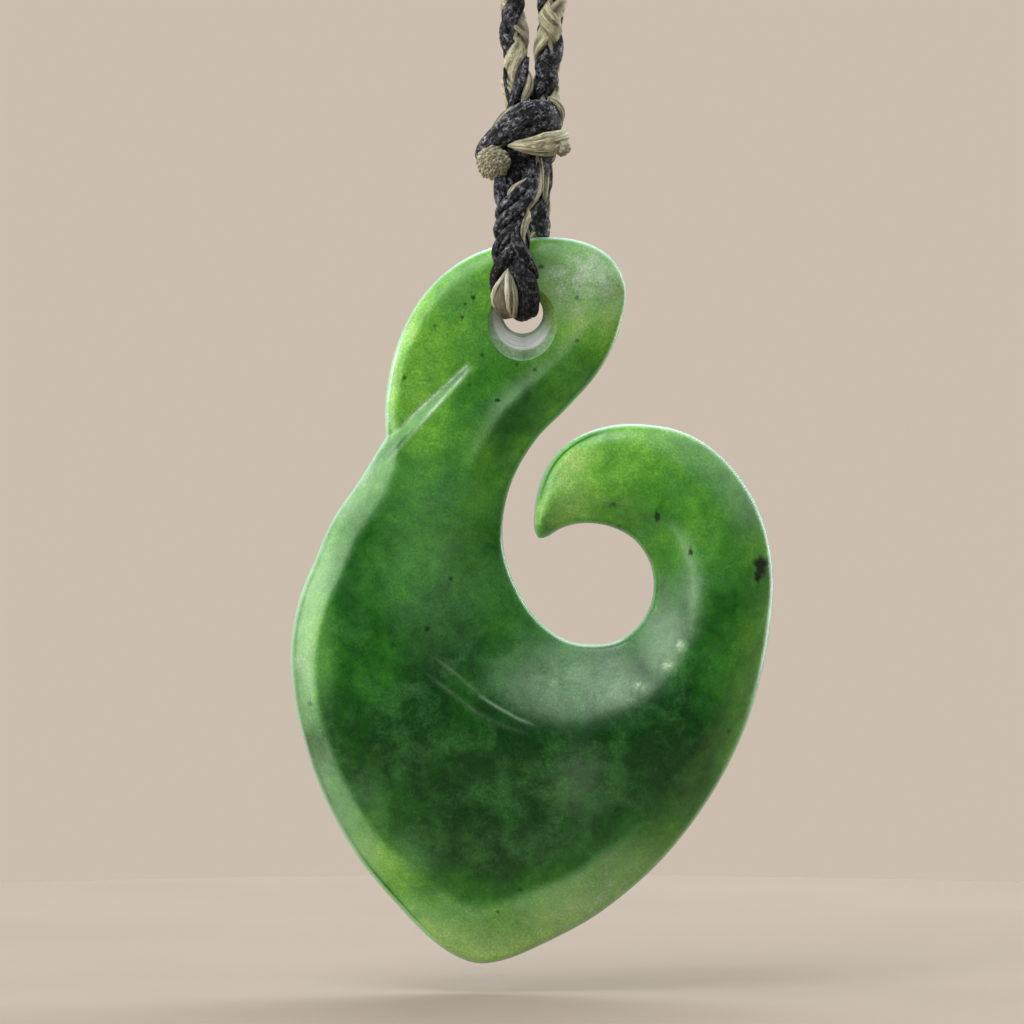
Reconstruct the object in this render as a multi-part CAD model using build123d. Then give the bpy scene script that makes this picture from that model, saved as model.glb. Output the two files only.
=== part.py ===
from build123d import *
from scipy.spatial import Delaunay
import math
import os

os.makedirs("parts", exist_ok=True)

# Fish hook pendant of carved greenstone on a plaited cord.
# Millimetres. +Z is up, the front faces -Y, and the cord hangs from the neck at the origin.

# Pendant sizes
pendant_height = 50.0
pendant_width = 33.2
belly_thickness = 7.0
head_thickness = 3.8
rim_thickness = 2.2
rim_round = 0.45
dome_drop = 0.5
dome_reach = 8.0
tip_drop = 0.55
tip_reach = 9.0

# Bore for the cord, with a countersink on each face
bore_diameter = 2.82
countersink_width = 4.75
countersink_length = 5.2
countersink_drop = 0.7
countersink_depth = 0.95
bore_sides = 36
bore_across = 0.481
bore_up = 0.896

# Wing beside the neck, lower than the neck by a small ledge
wing_drop = 0.7
wing_reach = 4.6
ledge_width = 0.7

# Facets of the carved faces
facet_size = 1.25
rim_facet = 0.95
tip_facet = 0.35
tip_zone = 1.5
ledge_steps = 9

# Cord
cord_diameter = 2.0
bore_lift = 0.27
leg_standoff = 3.45
knot_to_bore = 9.0
knot_height = 5.85
knot_width = 4.9
knot_depth = 5.0
knot_across = 0.35
ball_share = 1.24
band_diameter = 1.95
band_width = 6.3
band_tilt = 17.0
band_rise = 0.5
tuck_diameter = 1.35
tuck_width = 5.4
tuck_tilt = 5.0
tuck_drop = 0.55
left_end_diameter = 2.3
left_end_length = 2.6
right_end_diameter = 1.3
right_end_length = 1.5

# Outline of the pendant, clockwise from the notch between wing and neck.
# across and up are shares of the width and height from the lower left corner.
# bevel is the width of the ground slope inside that point, as a share of the width.
# edge tells the outside of the hook from its inside.
OUTLINE = [
    # across, up, bevel, edge
    (0.197, 0.724, 0.030, "outer"),
    (0.196, 0.770, 0.030, "outer"),
    (0.210, 0.829, 0.032, "outer"),
    (0.241, 0.884, 0.036, "outer"),
    (0.288, 0.931, 0.040, "outer"),
    (0.355, 0.968, 0.042, "outer"),
    (0.434, 0.990, 0.042, "outer"),
    (0.517, 1.000, 0.048, "outer"),
    (0.595, 0.996, 0.058, "outer"),
    (0.654, 0.978, 0.062, "outer"),
    (0.687, 0.950, 0.058, "outer"),
    (0.695, 0.917, 0.056, "inner"),
    (0.678, 0.866, 0.064, "inner"),
    (0.637, 0.814, 0.076, "inner"),
    (0.571, 0.764, 0.084, "inner"),
    (0.510, 0.723, 0.088, "inner"),
    (0.461, 0.668, 0.088, "inner"),
    (0.440, 0.611, 0.090, "inner"),
    (0.444, 0.563, 0.106, "inner"),
    (0.469, 0.517, 0.136, "inner"),
    (0.512, 0.473, 0.168, "inner"),
    (0.568, 0.446, 0.172, "inner"),
    (0.624, 0.439, 0.152, "inner"),
    (0.683, 0.446, 0.126, "inner"),
    (0.728, 0.472, 0.100, "inner"),
    (0.751, 0.508, 0.078, "inner"),
    (0.747, 0.548, 0.074, "inner"),
    (0.716, 0.582, 0.072, "inner"),
    (0.668, 0.601, 0.076, "inner"),
    (0.610, 0.607, 0.070, "inner"),
    (0.562, 0.600, 0.052, "inner"),
    (0.531, 0.588, 0.034, "inner"),
    (0.514, 0.587, 0.028, "outer"),
    (0.505, 0.600, 0.026, "outer"),
    (0.506, 0.630, 0.026, "outer"),
    (0.519, 0.666, 0.028, "outer"),
    (0.546, 0.699, 0.030, "outer"),
    (0.595, 0.726, 0.034, "outer"),
    (0.662, 0.741, 0.042, "outer"),
    (0.728, 0.743, 0.050, "outer"),
    (0.807, 0.734, 0.062, "outer"),
    (0.873, 0.710, 0.074, "outer"),
    (0.936, 0.666, 0.078, "outer"),
    (0.979, 0.611, 0.078, "outer"),
    (1.000, 0.542, 0.078, "outer"),
    (0.996, 0.473, 0.078, "outer"),
    (0.973, 0.390, 0.078, "outer"),
    (0.932, 0.308, 0.080, "outer"),
    (0.865, 0.225, 0.084, "outer"),
    (0.768, 0.142, 0.092, "outer"),
    (0.641, 0.070, 0.104, "outer"),
    (0.539, 0.032, 0.116, "outer"),
    (0.444, 0.005, 0.124, "outer"),
    (0.390, 0.000, 0.124, "outer"),
    (0.345, 0.009, 0.120, "outer"),
    (0.293, 0.032, 0.108, "outer"),
    (0.212, 0.087, 0.088, "outer"),
    (0.143, 0.142, 0.070, "outer"),
    (0.093, 0.197, 0.062, "outer"),
    (0.054, 0.252, 0.058, "outer"),
    (0.027, 0.308, 0.054, "outer"),
    (0.008, 0.363, 0.054, "outer"),
    (0.000, 0.432, 0.058, "outer"),
    (0.017, 0.501, 0.062, "outer"),
    (0.050, 0.556, 0.066, "outer"),
    (0.087, 0.611, 0.070, "outer"),
    (0.143, 0.666, 0.070, "outer"),
    (0.180, 0.706, 0.054, "outer"),
]

HOOK_TIP = (0.514, 0.587)
TRACE_STEPS = 6

# How much of the way from head to belly thickness is reached at each height share
THICKENING = [
    # up, share
    (0.00, 0.00),
    (0.08, 0.42),
    (0.20, 0.88),
    (0.32, 1.00),
    (0.45, 0.86),
    (0.60, 0.50),
    (0.72, 0.20),
    (0.84, 0.00),
    (1.00, 0.00),
]

# Ledge line between wing and neck, from where it fades out to the notch
LEDGE = [
    # across, up
    (0.371, 0.825),
    (0.205, 0.724),
]

# Hanging loop from the front exit of the knot through the bore to the back exit.
# forward is the share of the leg stand-off, above is the height over the bore.
HANGING_ROUTE = [
    # across, forward, above
    (-0.35, 0.30, 9.6),
    (-0.60, 0.70, 7.1),
    (-0.50, 1.00, 4.5),
    (0.0, 1.00, 0.0),
    (0.0, -1.00, 0.0),
    (0.40, -1.00, 4.5),
    (0.95, -0.72, 7.1),
    (1.05, -0.34, 9.6),
]

# Neck loop from the left exit of the knot round to the right one, across and above the knot
NECK_ROUTE = [
    # across, above
    (-0.6, -0.8),
    (-0.9, 9.0),
    (-2.4, 21.0),
    (-6.5, 39.5),
    (-15.0, 71.5),
    (-29.0, 119.5),
    (-42.0, 169.5),
    (-50.8, 214.8),
    (-52.5, 248.8),
    (-45.8, 276.0),
    (-31.8, 296.8),
    (-13.0, 309.0),
    (13.4, 309.0),
    (32.4, 296.9),
    (46.4, 276.2),
    (53.2, 249.0),
    (51.6, 215.0),
    (42.9, 169.8),
    (30.0, 119.7),
    (16.1, 71.7),
    (7.8, 39.7),
    (3.9, 21.2),
    (2.2, 9.1),
    (1.65, -0.8),
]


def on_pendant(across, up):
    x = (across - bore_across) * pendant_width
    z = (up - bore_up) * pendant_height
    return x, z


def table_value(table, where):
    for (a, low), (b, high) in zip(table, table[1:]):
        if where <= b:
            t = max(0.0, (where - a) / (b - a))
            t = t * t * (3 - 2 * t)
            return low + (high - low) * t
    return table[-1][1]


def blended(p0, p1, p2, p3, share):
    """A point on the smooth curve from p1 to p2."""
    t1 = max(math.dist(p0, p1), 1e-6) ** 0.5
    t2 = t1 + max(math.dist(p1, p2), 1e-6) ** 0.5
    t3 = t2 + max(math.dist(p2, p3), 1e-6) ** 0.5
    t = t1 + (t2 - t1) * share
    place = []
    for a, b, c, d in zip(p0, p1, p2, p3):
        ab = a + (b - a) * t / t1
        bc = b + (c - b) * (t - t1) / (t2 - t1)
        cd = c + (d - c) * (t - t2) / (t3 - t2)
        abc = ab + (bc - ab) * t / t2
        bcd = bc + (cd - bc) * (t - t1) / (t3 - t1)
        place.append(abc + (bcd - abc) * (t - t1) / (t2 - t1))
    return place


def traced_outline():
    """Points round the outline in millimetres, each with its bevel width and edge."""
    corners = [on_pendant(row[0], row[1]) for row in OUTLINE]
    count = len(corners)
    ring = []
    for k in range(count):
        here, after = corners[k], corners[(k + 1) % count]
        before, beyond = corners[k - 1], corners[(k + 2) % count]
        if k == 0:
            before = [2 * h - a for h, a in zip(here, after)]
        if k == count - 1:
            beyond = [2 * a - h for h, a in zip(here, after)]
        low, high = OUTLINE[k][2], OUTLINE[(k + 1) % count][2]
        for s in range(TRACE_STEPS):
            share = s / TRACE_STEPS
            x, z = blended(before, here, after, beyond, share)
            ring.append((x, z, (low + (high - low) * share) * pendant_width, OUTLINE[k][3]))
    return ring


outline_ring = traced_outline()
inner_trace = [p for p in outline_ring if p[3] == "inner"]
outer_trace = [p for p in outline_ring if p[3] == "outer"]


def nearest(trace, x, z):
    """Distance to the nearest traced point and the bevel width there."""
    best, width = 1e9, 1.0
    for px, pz, bevel, _ in trace:
        gap = (px - x) ** 2 + (pz - z) ** 2
        if gap < best:
            best, width = gap, bevel
    return math.sqrt(best), width


def wing_cut(x, z):
    """How far the wing lies below the neck at this place."""
    ax, az = on_pendant(*LEDGE[0])
    bx, bz = on_pendant(*LEDGE[1])
    long = math.hypot(bx - ax, bz - az)
    ux, uz = (bx - ax) / long, (bz - az) / long
    along = ((x - ax) * ux + (z - az) * uz) / long
    side = (x - ax) * uz - (z - az) * ux
    if along <= 0 or side <= -ledge_width or side >= wing_reach:
        return 0.0
    depth = wing_drop * min(1.0, along) ** 0.8
    if side < 0:
        return depth * (1 + side / ledge_width)
    return depth * (1 - side / wing_reach) ** 1.5


def tip_thinning(x, z):
    """How much lower the face of the hook lies towards its tip."""
    tip_x, tip_z = on_pendant(*HOOK_TIP)
    if x <= tip_x - 0.027 * pendant_width:
        return 0.0
    above = min(1.0, max(0.0, (z / pendant_height + bore_up - 0.50) / 0.08))
    return tip_drop * above * math.exp(-(((x - tip_x) ** 2 + (z - tip_z) ** 2) / tip_reach**2))


def half_thickness(x, z, with_wing):
    """Height of a face over the middle plane."""
    outer_gap, outer_bevel = nearest(outer_trace, x, z)
    inner_gap, inner_bevel = nearest(inner_trace, x, z)
    rim = rim_thickness / 2
    grown = table_value(THICKENING, z / pendant_height + bore_up)
    crown = (head_thickness + (belly_thickness - head_thickness) * grown) / 2
    middle = min(1.0, min(outer_gap, inner_gap) / dome_reach)
    crown = crown - dome_drop * grown * (1 - middle) ** 2 - tip_thinning(x, z)
    outer = 1 - (1 - min(1.0, outer_gap / outer_bevel)) ** 1.6
    inner = min(1.0, inner_gap / inner_bevel) ** 1.1
    share = max(0.0, 1 - math.hypot(1 - outer, 1 - inner))
    height = rim + (crown - rim) * share
    if with_wing:
        height = height - wing_cut(x, z)
    return max(height, rim)


def spaced_ring():
    """The outline at even steps, closer together round the hook's tip."""
    tip_x, tip_z = on_pendant(*HOOK_TIP)
    notch = on_pendant(*OUTLINE[0][:2])
    ring = [notch]
    walked = 0.0
    last = notch
    for px, pz, _, _ in outline_ring[1:]:
        walked += math.hypot(px - last[0], pz - last[1])
        last = (px, pz)
        near_tip = math.hypot(px - tip_x, pz - tip_z) < tip_zone
        if walked >= (tip_facet if near_tip else rim_facet):
            ring.append((px, pz))
            walked = 0.0
    if math.hypot(ring[-1][0] - notch[0], ring[-1][1] - notch[1]) < 0.5 * rim_facet:
        ring.pop()
    return ring


def inset(ring, amount):
    """The ring moved into the pendant by an amount."""
    moved = []
    for k, (x, z) in enumerate(ring):
        before, after = ring[k - 1], ring[(k + 1) % len(ring)]
        ax, az = x - before[0], z - before[1]
        bx, bz = after[0] - x, after[1] - z
        a, b = math.hypot(ax, az), math.hypot(bx, bz)
        nx, nz = az / a + bz / b, -ax / a - bx / b
        n = math.hypot(nx, nz)
        moved.append((x + amount * nx / n, z + amount * nz / n))
    return moved


def inside_ring(ring, x, z):
    inside = False
    for k, here in enumerate(ring):
        last = ring[k - 1]
        if (here[1] > z) != (last[1] > z):
            cut = here[0] + (z - here[1]) / (last[1] - here[1]) * (last[0] - here[0])
            if x < cut:
                inside = not inside
    return inside


def round_ring(width, length, drop):
    ring = []
    for k in range(bore_sides):
        turn = 2 * math.pi * k / bore_sides
        ring.append((width / 2 * math.sin(turn), length / 2 * math.cos(turn) - drop))
    return ring


def clear_of(points, x, z, gap):
    return all((px - x) ** 2 + (pz - z) ** 2 >= gap * gap for px, pz in points)


# Rings of corners in the middle plane
rim_ring = spaced_ring()
turn_ring = inset(rim_ring, 0.29 * rim_round)
top_ring = inset(rim_ring, rim_round)
bore_ring = round_ring(bore_diameter, bore_diameter, 0.0)
sink_ring = round_ring(countersink_width, countersink_length, countersink_drop)

# Corners along the crest of the inside bevel and along the ledge
chosen = []
for (x, z, bevel, _), (ax, az, _, _) in zip(inner_trace[::3], inner_trace[1::3]):
    run = math.hypot(ax - x, az - z)
    cx = x + bevel * (az - z) / run
    cz = z - bevel * (ax - x) / run
    true_gap = nearest(inner_trace, cx, cz)[0]
    if true_gap > 0.97 * bevel and nearest(outer_trace, cx, cz)[0] > 0.8 * facet_size:
        if clear_of(chosen, cx, cz, 0.7 * facet_size) and clear_of(sink_ring, cx, cz, 0.56 * facet_size):
            chosen.append((cx, cz))
for side in (0.0, ledge_width):
    for k in range(1, ledge_steps):
        share = k / ledge_steps
        (ax, az), (bx, bz) = on_pendant(*LEDGE[0]), on_pendant(*LEDGE[1])
        long = math.hypot(bx - ax, bz - az)
        px = ax + (bx - ax) * share - side * (bz - az) / long
        pz = az + (bz - az) * share + side * (bx - ax) / long
        if clear_of(top_ring, px, pz, 0.36 * facet_size) and clear_of(sink_ring, px, pz, 0.48 * facet_size):
            if clear_of(chosen, px, pz, 0.32 * facet_size):
                chosen.append((px, pz))

# The rest of the inside corners on an even grid
x_low, z_low = on_pendant(0, 0)
x_high, z_high = on_pendant(1, 1)
row_step = facet_size * math.sqrt(3) / 2
filled = list(chosen)
for k in range(int((z_high - z_low) / row_step) + 1):
    z = z_low + k * row_step
    for i in range(int((x_high - x_low) / facet_size) + 2):
        x = x_low + (i + 0.5 * (k % 2)) * facet_size
        if not inside_ring(top_ring, x, z) or inside_ring(sink_ring, x, z):
            continue
        if clear_of(top_ring, x, z, 0.6 * facet_size) and clear_of(sink_ring, x, z, 0.4 * facet_size):
            if clear_of(chosen, x, z, 0.7 * facet_size):
                filled.append((x, z))

flat = top_ring + sink_ring + filled
facets = []
for a, b, c in Delaunay(flat).simplices:
    a, b, c = int(a), int(b), int(c)
    mx = (flat[a][0] + flat[b][0] + flat[c][0]) / 3
    mz = (flat[a][1] + flat[b][1] + flat[c][1]) / 3
    if inside_ring(top_ring, mx, mz) and not inside_ring(sink_ring, mx, mz):
        facets.append((a, b, c))

faces = []
knot_top = cord_diameter / 2 - max(above for _, above in NECK_ROUTE)
knot_low = knot_top - knot_height
hang_z = knot_low - knot_to_bore


def corner(point, y):
    return Vector(point[0], y, point[1])


def add_facet(a, b, c):
    faces.append(Face(Wire.make_polygon([a, b, c])))


def add_strip(low, high):
    """Two triangles between each pair of neighbours in two rings."""
    count = len(low)
    for k in range(count):
        n = (k + 1) % count
        add_facet(low[k], low[n], high[n])
        add_facet(low[k], high[n], high[k])


def carved_side(side, with_wing):
    """Facets of one carved face, from the rim to the bore. Gives its rim and bore corners."""
    rim = rim_thickness / 2
    heights = [half_thickness(x, z, with_wing) for x, z in flat]
    raised = [corner(p, side * h) for p, h in zip(flat, heights)]
    low = [corner(p, side * (rim - rim_round)) for p in rim_ring]
    turn = [corner(p, side * (rim - 0.29 * rim_round)) for p in turn_ring]
    mouth = raised[len(top_ring) : len(top_ring) + bore_sides]
    deep = [corner(p, side * (head_thickness / 2 - countersink_depth)) for p in bore_ring]
    add_strip(low, turn)
    add_strip(turn, raised[: len(top_ring)])
    add_strip(mouth, deep)
    for a, b, c in facets:
        add_facet(raised[a], raised[b], raised[c])
    return low, deep


front_low, front_deep = carved_side(-1, True)
back_low, back_deep = carved_side(1, False)
add_strip(front_low, back_low)
add_strip(front_deep, back_deep)
hook_pendant = Solid(Shell(faces))
print("pendant facets", len(faces), "valid", hook_pendant.is_valid)
print("pendant volume mm3", round(hook_pendant.volume, 1))
middle = hook_pendant.center(CenterOf.MASS)
print("pendant centre", round(middle.X, 3), round(middle.Y, 3), round(middle.Z, 3))
hook_pendant = Pos(0, 0, hang_z) * hook_pendant
export_step(hook_pendant, "parts/hook_pendant.step")


# Plain tubes for the cord
def tube_through(points, name):
    """A round tube along straight runs and the largest arcs that fit between them."""
    radii = []
    for before, here, after in zip(points, points[1:], points[2:]):
        turn = math.radians((here - before).get_angle(after - here))
        run = min((here - before).length, (after - here).length)
        radii.append(0.45 * run / math.tan(turn / 2))
    path = FilletPolyline(*points, radius=radii)
    tube = sweep(Plane(path @ 0, z_dir=path % 0) * Circle(cord_diameter / 2), path)
    expected = math.pi * cord_diameter**2 / 4 * path.length
    print(name, "length", round(path.length, 1), "volume share", round(tube.volume / expected, 4))
    print(name, "arc radii", [round(r, 1) for r in radii])
    return tube


hang_points = []
for across, forward, above in HANGING_ROUTE:
    lift = bore_lift * max(0.0, 1 - above / knot_to_bore)
    hang_points.append(Vector(across, -forward * leg_standoff, hang_z + above + lift))
hanging_loop = tube_through(hang_points, "hanging_loop")
export_step(hanging_loop, "parts/hanging_loop.step")

neck_points = [Vector(across, 0, knot_top + above) for across, above in NECK_ROUTE]
neck_cord = tube_through(neck_points, "neck_cord")
export_step(neck_cord, "parts/neck_cord.step")

# Knot: a barrel with flats where the cords go in, with the two turns of cord that show on it
knot_place = Pos(knot_across, 0, (knot_low + knot_top) / 2)
ball = Sphere(ball_share * knot_height / 2)
ball = scale(ball, by=(knot_width / knot_height / ball_share, knot_depth / knot_height / ball_share, 1))
barrel = ball & Box(2 * knot_width, 2 * knot_depth, knot_height)
band = Torus((band_width - band_diameter) / 2, band_diameter / 2)
band = Pos(0, 0, band_rise) * Rot(0, -band_tilt, 0) * band
tuck = Torus((tuck_width - tuck_diameter) / 2, tuck_diameter / 2)
tuck = Pos(0, 0, -tuck_drop - tuck_diameter / 2) * Rot(0, -tuck_tilt, 0) * tuck
knot = knot_place * (barrel + band + tuck)
print("knot solids", len(knot.solids()), "valid", knot.is_valid, "volume", round(knot.volume, 1))
export_step(knot, "parts/knot.step")


def cord_end(diameter, length, place, heading):
    """A short stub of cord with a rounded end, starting inside the knot."""
    stub = Plane.XZ * (
        Pos(diameter / 4, length / 2) * Rectangle(diameter / 2, length)
    )
    stub = revolve(stub, Axis.Z)
    stub = fillet(stub.edges().group_by(Axis.Z)[-1], 0.42 * diameter)
    return knot_place * (Plane(place, z_dir=heading).location * stub)


left_place = (-0.22 * knot_width, -0.30 * knot_depth, -0.18 * knot_height)
cord_end_left = cord_end(left_end_diameter, left_end_length, left_place, (-0.85, -0.42, -0.30))
right_place = (0.36 * knot_width, -0.24 * knot_depth, -0.10 * knot_height)
cord_end_right = cord_end(right_end_diameter, right_end_length, right_place, (0.90, -0.30, -0.22))
export_step(cord_end_left, "parts/cord_end_left.step")
export_step(cord_end_right, "parts/cord_end_right.step")
print("left end", cord_end_left.bounding_box())
print("right end", cord_end_right.bounding_box())
print("bore", round(hang_z, 3), "pivot", round(hang_z + bore_lift, 3))
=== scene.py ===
import math

import bpy
import numpy as np
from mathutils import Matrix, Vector
from mathutils.geometry import delaunay_2d_cdt


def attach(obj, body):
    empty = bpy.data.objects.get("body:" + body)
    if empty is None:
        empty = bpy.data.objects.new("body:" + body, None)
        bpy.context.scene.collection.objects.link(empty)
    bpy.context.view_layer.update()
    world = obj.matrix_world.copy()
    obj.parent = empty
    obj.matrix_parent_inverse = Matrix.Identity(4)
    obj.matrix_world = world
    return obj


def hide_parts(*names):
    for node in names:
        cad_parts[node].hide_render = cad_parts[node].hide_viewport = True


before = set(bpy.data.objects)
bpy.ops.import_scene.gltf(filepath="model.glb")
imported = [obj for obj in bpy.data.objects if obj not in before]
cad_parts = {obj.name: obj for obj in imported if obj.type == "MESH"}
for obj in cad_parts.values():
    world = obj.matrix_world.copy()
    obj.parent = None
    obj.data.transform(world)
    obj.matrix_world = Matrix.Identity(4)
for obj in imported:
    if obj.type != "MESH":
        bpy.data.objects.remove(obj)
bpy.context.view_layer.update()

MM = 0.001

# ---------------------------------------------------------------- sizes, in millimetres
pendant_height = 50.0
pendant_width = 33.2
belly_thickness = 7.0
head_thickness = 3.8
rim_thickness = 2.2
rim_round = 0.45
dome_drop = 0.5
dome_reach = 8.0
tip_drop = 0.55
tip_reach = 9.0
tip_margin = 0.9
bore_diameter = 2.82
countersink_width = 4.75
countersink_length = 5.2
countersink_drop = 0.7
countersink_depth = 0.95
wing_drop = 0.7
wing_reach = 4.6
ledge_width = 0.7
bore_z = -322.85
bore_lift = 0.27
leg_standoff = 3.45
knot_to_bore = 9.0
knot_top = -308.0
# The inside bevel has a crisp crest above this height under the bore, and a round one below it
crisp_from = 14.0
crisp_fade = 6.0
# How far the plait's strands lie from its middle, and how much they rise where they cross
plait_reach = 0.46
plait_lift = 0.24
# Where the tan strand of the hanging loop comes out of its inside
tan_begins = 11.5
# How far apart the corners of the stone's mesh are, by where they lie
border_step, tip_step, tip_zone = 0.27, 0.10, 1.5
grid_step, speck_step, streak_step = 0.31, 0.06, 0.11
ledge_step, across_ledge_step = 0.11, 0.10
# Rows of corners inside the outline, and rows beside the crest of the inside bevel
ROW_GAPS = (0.022, 0.086, 0.186, 0.27, 0.36, 0.45, 0.65, 0.88)
CREST_GAPS = (-0.12, 0.0, 0.12, 0.24)
# How far fine and grid corners stay from the outline, and from the corners before them
fine_inset, crest_inset, grid_inset = 0.3, 0.9, 1.0
fine_apart, grid_apart, same_place = 0.09, 0.17, 0.045
sink_margin = 0.3
# Pale patches narrower than this are on the front only
small_mark = 1.0
# How far out the ragged rim of an inclusion goes, in its half sizes
ragged_reach = 1.45

# Shares of the width and height, and powers and factors that shape the bevels
bore_across, bore_up = 0.481, 0.896
hook_from, hook_fade = 0.50, 0.08
outer_curve, inner_curve, crisp_curve, inner_stretch = 1.6, 1.45, 1.1, 1.25
# Rows of corners beside a pale line, in its half widths
STREAK_ROWS = (-2.2, -1.1, 0.0, 1.1, 2.2)
# Rings of the countersink, as shares of the way from its rim down to the bore
SINK_RINGS = np.concatenate([[0.02, 0.05, 0.08], np.linspace(0.14, 1, 13)])
sink_curve = 1.15

# Counts: points between two rows of the outline, sides and rings, and points measured at a time
trace_steps, bore_sides, wall_steps, chunk = 12, 72, 5, 1500

# Outline of the pendant, clockwise from the notch between wing and neck.
# across and up are shares of the width and height from the lower left corner.
# bevel is the width of the ground slope inside that point, as a share of the width.
OUTLINE = [
    # across, up, bevel, edge
    (0.197, 0.724, 0.030, "outer"),
    (0.196, 0.770, 0.030, "outer"),
    (0.210, 0.829, 0.032, "outer"),
    (0.241, 0.884, 0.036, "outer"),
    (0.288, 0.931, 0.040, "outer"),
    (0.355, 0.968, 0.042, "outer"),
    (0.434, 0.990, 0.042, "outer"),
    (0.517, 1.000, 0.048, "outer"),
    (0.595, 0.996, 0.058, "outer"),
    (0.654, 0.978, 0.062, "outer"),
    (0.687, 0.950, 0.058, "outer"),
    (0.695, 0.917, 0.056, "inner"),
    (0.678, 0.866, 0.064, "inner"),
    (0.637, 0.814, 0.076, "inner"),
    (0.571, 0.764, 0.084, "inner"),
    (0.510, 0.723, 0.088, "inner"),
    (0.461, 0.668, 0.088, "inner"),
    (0.440, 0.611, 0.090, "inner"),
    (0.444, 0.563, 0.106, "inner"),
    (0.469, 0.517, 0.136, "inner"),
    (0.512, 0.473, 0.168, "inner"),
    (0.568, 0.446, 0.172, "inner"),
    (0.624, 0.439, 0.152, "inner"),
    (0.683, 0.446, 0.126, "inner"),
    (0.728, 0.472, 0.100, "inner"),
    (0.751, 0.508, 0.078, "inner"),
    (0.747, 0.548, 0.074, "inner"),
    (0.716, 0.582, 0.072, "inner"),
    (0.668, 0.601, 0.076, "inner"),
    (0.610, 0.607, 0.070, "inner"),
    (0.562, 0.600, 0.052, "inner"),
    (0.531, 0.588, 0.034, "inner"),
    (0.514, 0.587, 0.028, "outer"),
    (0.505, 0.600, 0.026, "outer"),
    (0.506, 0.630, 0.026, "outer"),
    (0.519, 0.666, 0.028, "outer"),
    (0.546, 0.699, 0.030, "outer"),
    (0.595, 0.726, 0.034, "outer"),
    (0.662, 0.741, 0.042, "outer"),
    (0.728, 0.743, 0.050, "outer"),
    (0.807, 0.734, 0.062, "outer"),
    (0.873, 0.710, 0.074, "outer"),
    (0.936, 0.666, 0.078, "outer"),
    (0.979, 0.611, 0.078, "outer"),
    (1.000, 0.542, 0.078, "outer"),
    (0.996, 0.473, 0.078, "outer"),
    (0.973, 0.390, 0.078, "outer"),
    (0.932, 0.308, 0.080, "outer"),
    (0.865, 0.225, 0.084, "outer"),
    (0.768, 0.142, 0.092, "outer"),
    (0.641, 0.070, 0.104, "outer"),
    (0.539, 0.032, 0.116, "outer"),
    (0.444, 0.005, 0.124, "outer"),
    (0.390, 0.000, 0.124, "outer"),
    (0.345, 0.009, 0.120, "outer"),
    (0.293, 0.032, 0.108, "outer"),
    (0.212, 0.087, 0.088, "outer"),
    (0.143, 0.142, 0.070, "outer"),
    (0.093, 0.197, 0.062, "outer"),
    (0.054, 0.252, 0.058, "outer"),
    (0.027, 0.308, 0.054, "outer"),
    (0.008, 0.363, 0.054, "outer"),
    (0.000, 0.432, 0.058, "outer"),
    (0.017, 0.501, 0.062, "outer"),
    (0.050, 0.556, 0.066, "outer"),
    (0.087, 0.611, 0.070, "outer"),
    (0.143, 0.666, 0.070, "outer"),
    (0.180, 0.706, 0.054, "outer"),
]

HOOK_TIP = (0.514, 0.587)

# How much of the way from head to belly thickness is reached at each height share
THICKENING = [
    # up, share
    (0.00, 0.00),
    (0.08, 0.42),
    (0.20, 0.88),
    (0.32, 1.00),
    (0.45, 0.86),
    (0.60, 0.50),
    (0.72, 0.20),
    (0.84, 0.00),
    (1.00, 0.00),
]

# Ledge line between wing and neck, from where it fades out to the notch
LEDGE = [
    # across, up
    (0.371, 0.825),
    (0.205, 0.724),
]

# Dark inclusions in the stone. size and long are millimetres, strength is how dark.
SPECKS = [
    # across, up, size, long, strength
    (0.974, 0.549, 0.46, 0.72, 1.00),
    (0.968, 0.534, 0.26, 0.40, 1.00),
    (0.760, 0.616, 0.20, 0.36, 0.95),
    (0.829, 0.568, 0.16, 0.24, 0.90),
    (0.670, 0.634, 0.16, 0.16, 0.55),
    (0.560, 0.600, 0.13, 0.13, 0.50),
    (0.680, 0.603, 0.15, 0.15, 0.50),
    (0.908, 0.323, 0.17, 0.17, 0.60),
    (0.237, 0.807, 0.16, 0.16, 0.70),
    (0.430, 0.776, 0.20, 0.15, 0.90),
    (0.507, 0.818, 0.15, 0.15, 0.65),
    (0.398, 0.838, 0.15, 0.15, 0.60),
    (0.380, 0.917, 0.17, 0.17, 0.85),
    (0.357, 0.890, 0.15, 0.15, 0.70),
    (0.363, 0.908, 0.13, 0.13, 0.65),
    (0.594, 0.858, 0.15, 0.15, 0.65),
    (0.520, 0.959, 0.24, 0.15, 0.75),
    (0.594, 0.917, 0.15, 0.15, 0.55),
    (0.470, 0.825, 0.15, 0.15, 0.60),
    (0.300, 0.878, 0.13, 0.13, 0.55),
    (0.372, 0.797, 0.13, 0.13, 0.55),
    (0.216, 0.441, 0.17, 0.17, 0.50),
    (0.043, 0.360, 0.16, 0.20, 0.50),
]

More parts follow.
